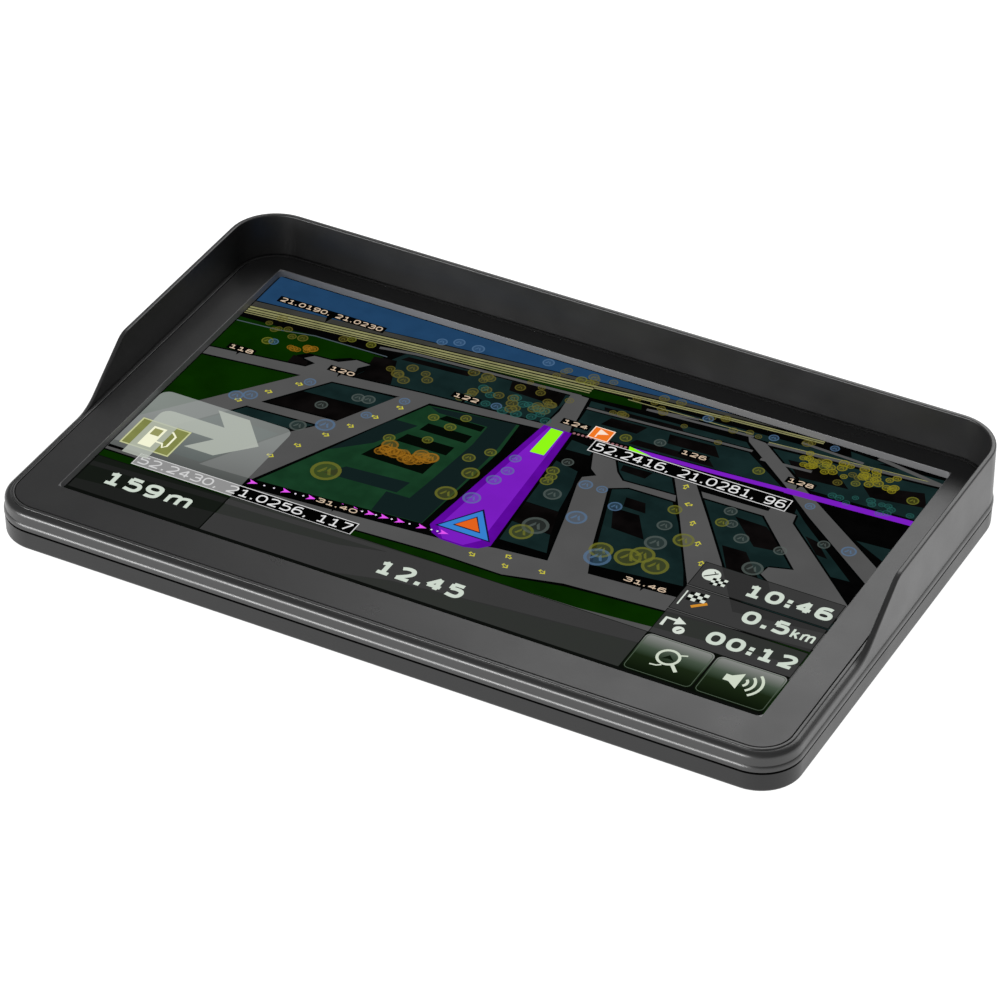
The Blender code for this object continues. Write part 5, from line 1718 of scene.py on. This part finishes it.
class NAVIGATOR_OT_board_parts(bpy.types.Operator):
    """Finish the board, its chips and the parts that are wired to it"""

    bl_idname = "navigator.board_parts"
    bl_label = "Board parts"

    def execute(self, context):
        self.laminate()
        resin = Finish("chip_resin", (0.018, 0.018, 0.019), 0.55)
        resin.tint(resin.noise(0.4, 4), 0.8, 1.25)
        resin.bump(resin.noise(0.15, 2), 0.01)
        coat(resin, "processor_chip", *numbered("memory_chip", 2), "storage_chip", "power_chip",
             "audio_chip", "receiver_chip", "audio_jack", "display_connector", "touch_connector",
             "card_slider")
        self.speaker()
        nylon = Finish("white_nylon", (0.68, 0.67, 0.62), 0.42, Subsurface_Weight=0.05)
        nylon.tint(nylon.noise(2.5, 3), 0.93, 1.04)
        nylon.bump(nylon.noise(0.3, 2), 0.006)
        coat(nylon, "power_switch_plunger", "reset_plunger", "battery_plug", "speaker_plug")
        ceramic = Finish("patch_ceramic", (0.40, 0.36, 0.28), 0.5)
        ceramic.tint(ceramic.noise(0.5, 4), 0.85, 1.1)
        ceramic.bump(ceramic.noise(0.2, 3), 0.01)
        coat(ceramic, "antenna_patch")
        self.battery()
        for shade, base in (("red", (0.36, 0.012, 0.010)), ("black", (0.012, 0.012, 0.012))):
            wire = Finish(f"wire_{shade}", base, 0.4)
            wire.tint(wire.noise(1.8, 2), 0.85, 1.15)
            wire.bump(wire.noise(0.5, 2), 0.01)
            coat(wire, f"battery_wire_{shade}", f"speaker_wire_{shade}")
        return {"FINISHED"}

    def laminate(self):
        """Solder mask over copper, with fine tracks showing through as lighter lines."""
        board = Finish("board_laminate", (0.012, 0.075, 0.03), 0.32, IOR=1.5)
        tracks = board.between(board.cells(2.2, "DISTANCE_TO_EDGE"), 0.02, 0.05, 1.0, 0.0)
        board.ramp(tracks, [(0.0, (0.010, 0.060, 0.024)), (1.0, (0.03, 0.14, 0.055))])
        board.rough(board.noise(5, 3), 0.26, 0.4)
        board.bump(tracks, 0.02)
        coat(board, "main_board")

    def speaker(self):
        """A dark paper cone."""
        cone = Finish("speaker_cone", (0.02, 0.02, 0.021), 0.7)
        cone.tint(cone.noise(0.6, 4), 0.7, 1.5)
        cone.bump(cone.bands(1.2, "X", 0.4), 0.02)
        coat(cone, "speaker")

    def battery(self):
        """A soft silver pouch with faint creases."""
        pouch = Finish("battery_pouch", (0.50, 0.50, 0.51), 0.36, 0.7)
        pouch.tint(pouch.noise(9, 4), 0.88, 1.08)
        pouch.rough(pouch.noise(3, 3), 0.3, 0.45)
        pouch.bump(pouch.noise(5, 3, pouch.stretched((1, 0.3, 1))), 0.08)
        coat(pouch, "battery")


class NAVIGATOR_OT_power_key(bpy.types.Operator):
    """Build the power key with its sign"""

    bl_idname = "navigator.power_key"
    bl_label = "Power key"

    def execute(self, context):
        low, high = cad_box("power_button")
        case = context.scene.navigator_case
        middle = (low.x + high.x) / 2
        bm = bmesh.new()
        self.cap(bm, middle, KEY_Z, high.y)
        plate = bmesh.new()
        add_box(plate, (low.x, 49.0, low.z), (high.x, 49.7, high.z), 0.12)
        finger = bmesh.new()
        add_box(finger, (middle - 1.2, low.y, 2.55), (middle + 1.2, 49.3, 3.55), 0.1)
        mesh = combined("key", bm, [("UNION", plate), ("UNION", finger)])
        finish = grained("key_plastic", case.frame_colour, 0.34, case.grain / MM)
        settle("power_key_cap", mesh, finish.material, "power_key", ["power_button"])
        self.sign(middle, KEY_Z, high.y)
        return {"FINISHED"}

    def cap(self, bm, middle, height, top):
        """The cap with rounded ends, a rolled rim and a shallow dish for the fingertip."""
        loops = []
        for grow, y in ((0, 49.4), (0, top - 0.42), (-0.03, top - 0.25), (-0.12, top - 0.12),
                        (-0.26, top - 0.06), (-0.45, top - 0.1), (-0.62, top - 0.16)):
            corners = rounded_box((-5 - grow, -1.1 - grow), (5 + grow, 1.1 + grow), 1.05 + grow, 7)
            loops.append([Vector((middle + x, y, height + z)) for x, z in corners])
        loft(bm, loops)

    def sign(self, middle, height, top):
        """The usual broken ring and bar, printed in the dish."""
        face, depth, radius, width, gap = top - 0.17, 0.03, 0.42, 0.12, 38
        turns = [math.radians(90 + gap + (360 - 2 * gap) * step / 20) for step in range(21)]
        ring = [
            [(middle - r * math.cos(a), height + r * math.sin(a)) for a in turns]
            for r in (radius + width / 2, radius - width / 2)
        ]
        bm = bmesh.new()
        add_prism(bm, ring[0] + ring[1][::-1], "y", face, face + depth)
        half = width / 2
        bar = rectangle(middle - half, height, middle + half, height + 0.55)
        add_prism(bm, bar, "y", face, face + depth)
        ink = Finish("key_print", (0.42, 0.42, 0.42), 0.5)
        ink.tint(ink.noise(0.2, 3), 0.9, 1.05)
        settle("power_sign", bm, ink.material, "power_key")


class NAVIGATOR_OT_port_contacts(bpy.types.Operator):
    """Build the tongue and contacts in the sockets"""

    bl_idname = "navigator.port_contacts"
    bl_label = "Port contacts"

    def execute(self, context):
        gold = Finish("contact_gold", (0.78, 0.52, 0.16), 0.24, 1.0)
        gold.tint(gold.noise(0.3, 3), 0.85, 1.05)
        gold.rough(gold.noise(0.4, 3), 0.18, 0.32)
        tongue_resin = Finish("tongue_resin", (0.02, 0.02, 0.021), 0.5)
        tongue_resin.bump(tongue_resin.noise(0.2, 2), 0.008)
        low, high = cad_box("usb_socket")
        middle_y, middle_z = (low.y + high.y) / 2, (low.z + high.z) / 2
        tongue = bmesh.new()
        add_box(tongue, (low.x + 0.6, middle_y - 2.2, middle_z + 0.05),
                (high.x - 1.2, middle_y + 2.2, middle_z + 0.4), 0.08)
        settle("usb_tongue", tongue, tongue_resin.material)
        pad = bmesh.new()
        add_box(pad, (-1.0, -0.14, 0), (1.0, 0.14, 0.04), 0.015, 1)
        mesh = self.row("usb_pads", pad, 5, (0, 0.65, 0), gold.material)
        self.place(mesh, (low.x + 1.9, middle_y - 1.3, middle_z + 0.01))
        settle("usb_pads", mesh, gold.material)
        low, high = cad_box("card_socket")
        spring = bmesh.new()
        add_prism(spring, [(-1.3, 0.12), (0.3, 0.12), (1.0, -0.12), (1.2, -0.12), (1.2, -0.04),
                           (1.02, -0.04), (0.32, 0.2), (-1.3, 0.2)], "y", -0.22, 0.22)
        mesh = self.row("card_springs", spring, 8, (0, 1.0, 0), gold.material)
        self.place(mesh, (high.x - 3.2, low.y + 3.4, high.z - 0.42))
        settle("card_springs", mesh, gold.material)
        return {"FINISHED"}

    def row(self, name, item_bm, count, step, finish):
        """A row of equal copies, set out by nodes."""
        item = linked(f"{name}_item", finished_mesh(f"{name}_item", item_bm))
        tree = bpy.data.node_groups.get("row_of_copies") or row_tree()
        empty = bpy.data.meshes.new(name)
        made = run_tree(tree, linked(name, empty), {
            "Item": item, "Count": count, "Step": [part * MM for part in step], "Finish": finish,
        })
        bpy.data.objects.remove(item)
        return made

    def place(self, mesh, where):
        mesh.transform(Matrix.Translation(Vector(where) * MM))


class NAVIGATOR_PT_sidebar(bpy.types.Panel):
    """Sizes, colours and the steps that build the navigator"""

    bl_idname = "NAVIGATOR_PT_sidebar"
    bl_label = "Portable navigator"
    bl_space_type = "VIEW_3D"
    bl_region_type = "UI"
    bl_category = "Navigator"

    def draw(self, context):
        for name in SETTINGS:
            box = self.layout.box()
            group = getattr(context.scene, name)
            for field in group.bl_rna.properties:
                if field.identifier not in ("rna_type", "name"):
                    box.prop(group, field.identifier)
        for step in STEPS:
            self.layout.operator(step.bl_idname)


SETTINGS = {
    "navigator_case": NavigatorCase,
    "navigator_picture": NavigatorPicture,
    "navigator_stage": NavigatorStage,
}
STEPS = [
    NAVIGATOR_OT_stage, NAVIGATOR_OT_front_frame, NAVIGATOR_OT_face_plate, NAVIGATOR_OT_rear_cover,
    NAVIGATOR_OT_power_key, NAVIGATOR_OT_screen_stack, NAVIGATOR_OT_map_ground,
    NAVIGATOR_OT_map_streets, NAVIGATOR_OT_map_symbols, NAVIGATOR_OT_screen_panels,
    NAVIGATOR_OT_metal_parts, NAVIGATOR_OT_board_parts, NAVIGATOR_OT_port_contacts,
]
CLASSES = [*SETTINGS.values(), *STEPS, NAVIGATOR_PT_sidebar]


def register():
    for item in CLASSES:
        bpy.utils.register_class(item)
    for name, group in SETTINGS.items():
        setattr(bpy.types.Scene, name, bpy.props.PointerProperty(type=group))


def unregister():
    for name in SETTINGS:
        delattr(bpy.types.Scene, name)
    for item in reversed(CLASSES):
        bpy.utils.unregister_class(item)


def main():
    register()
    for step in STEPS:
        getattr(bpy.ops.navigator, step.bl_idname.split(".")[1])()


if __name__ == "__main__":
    main()
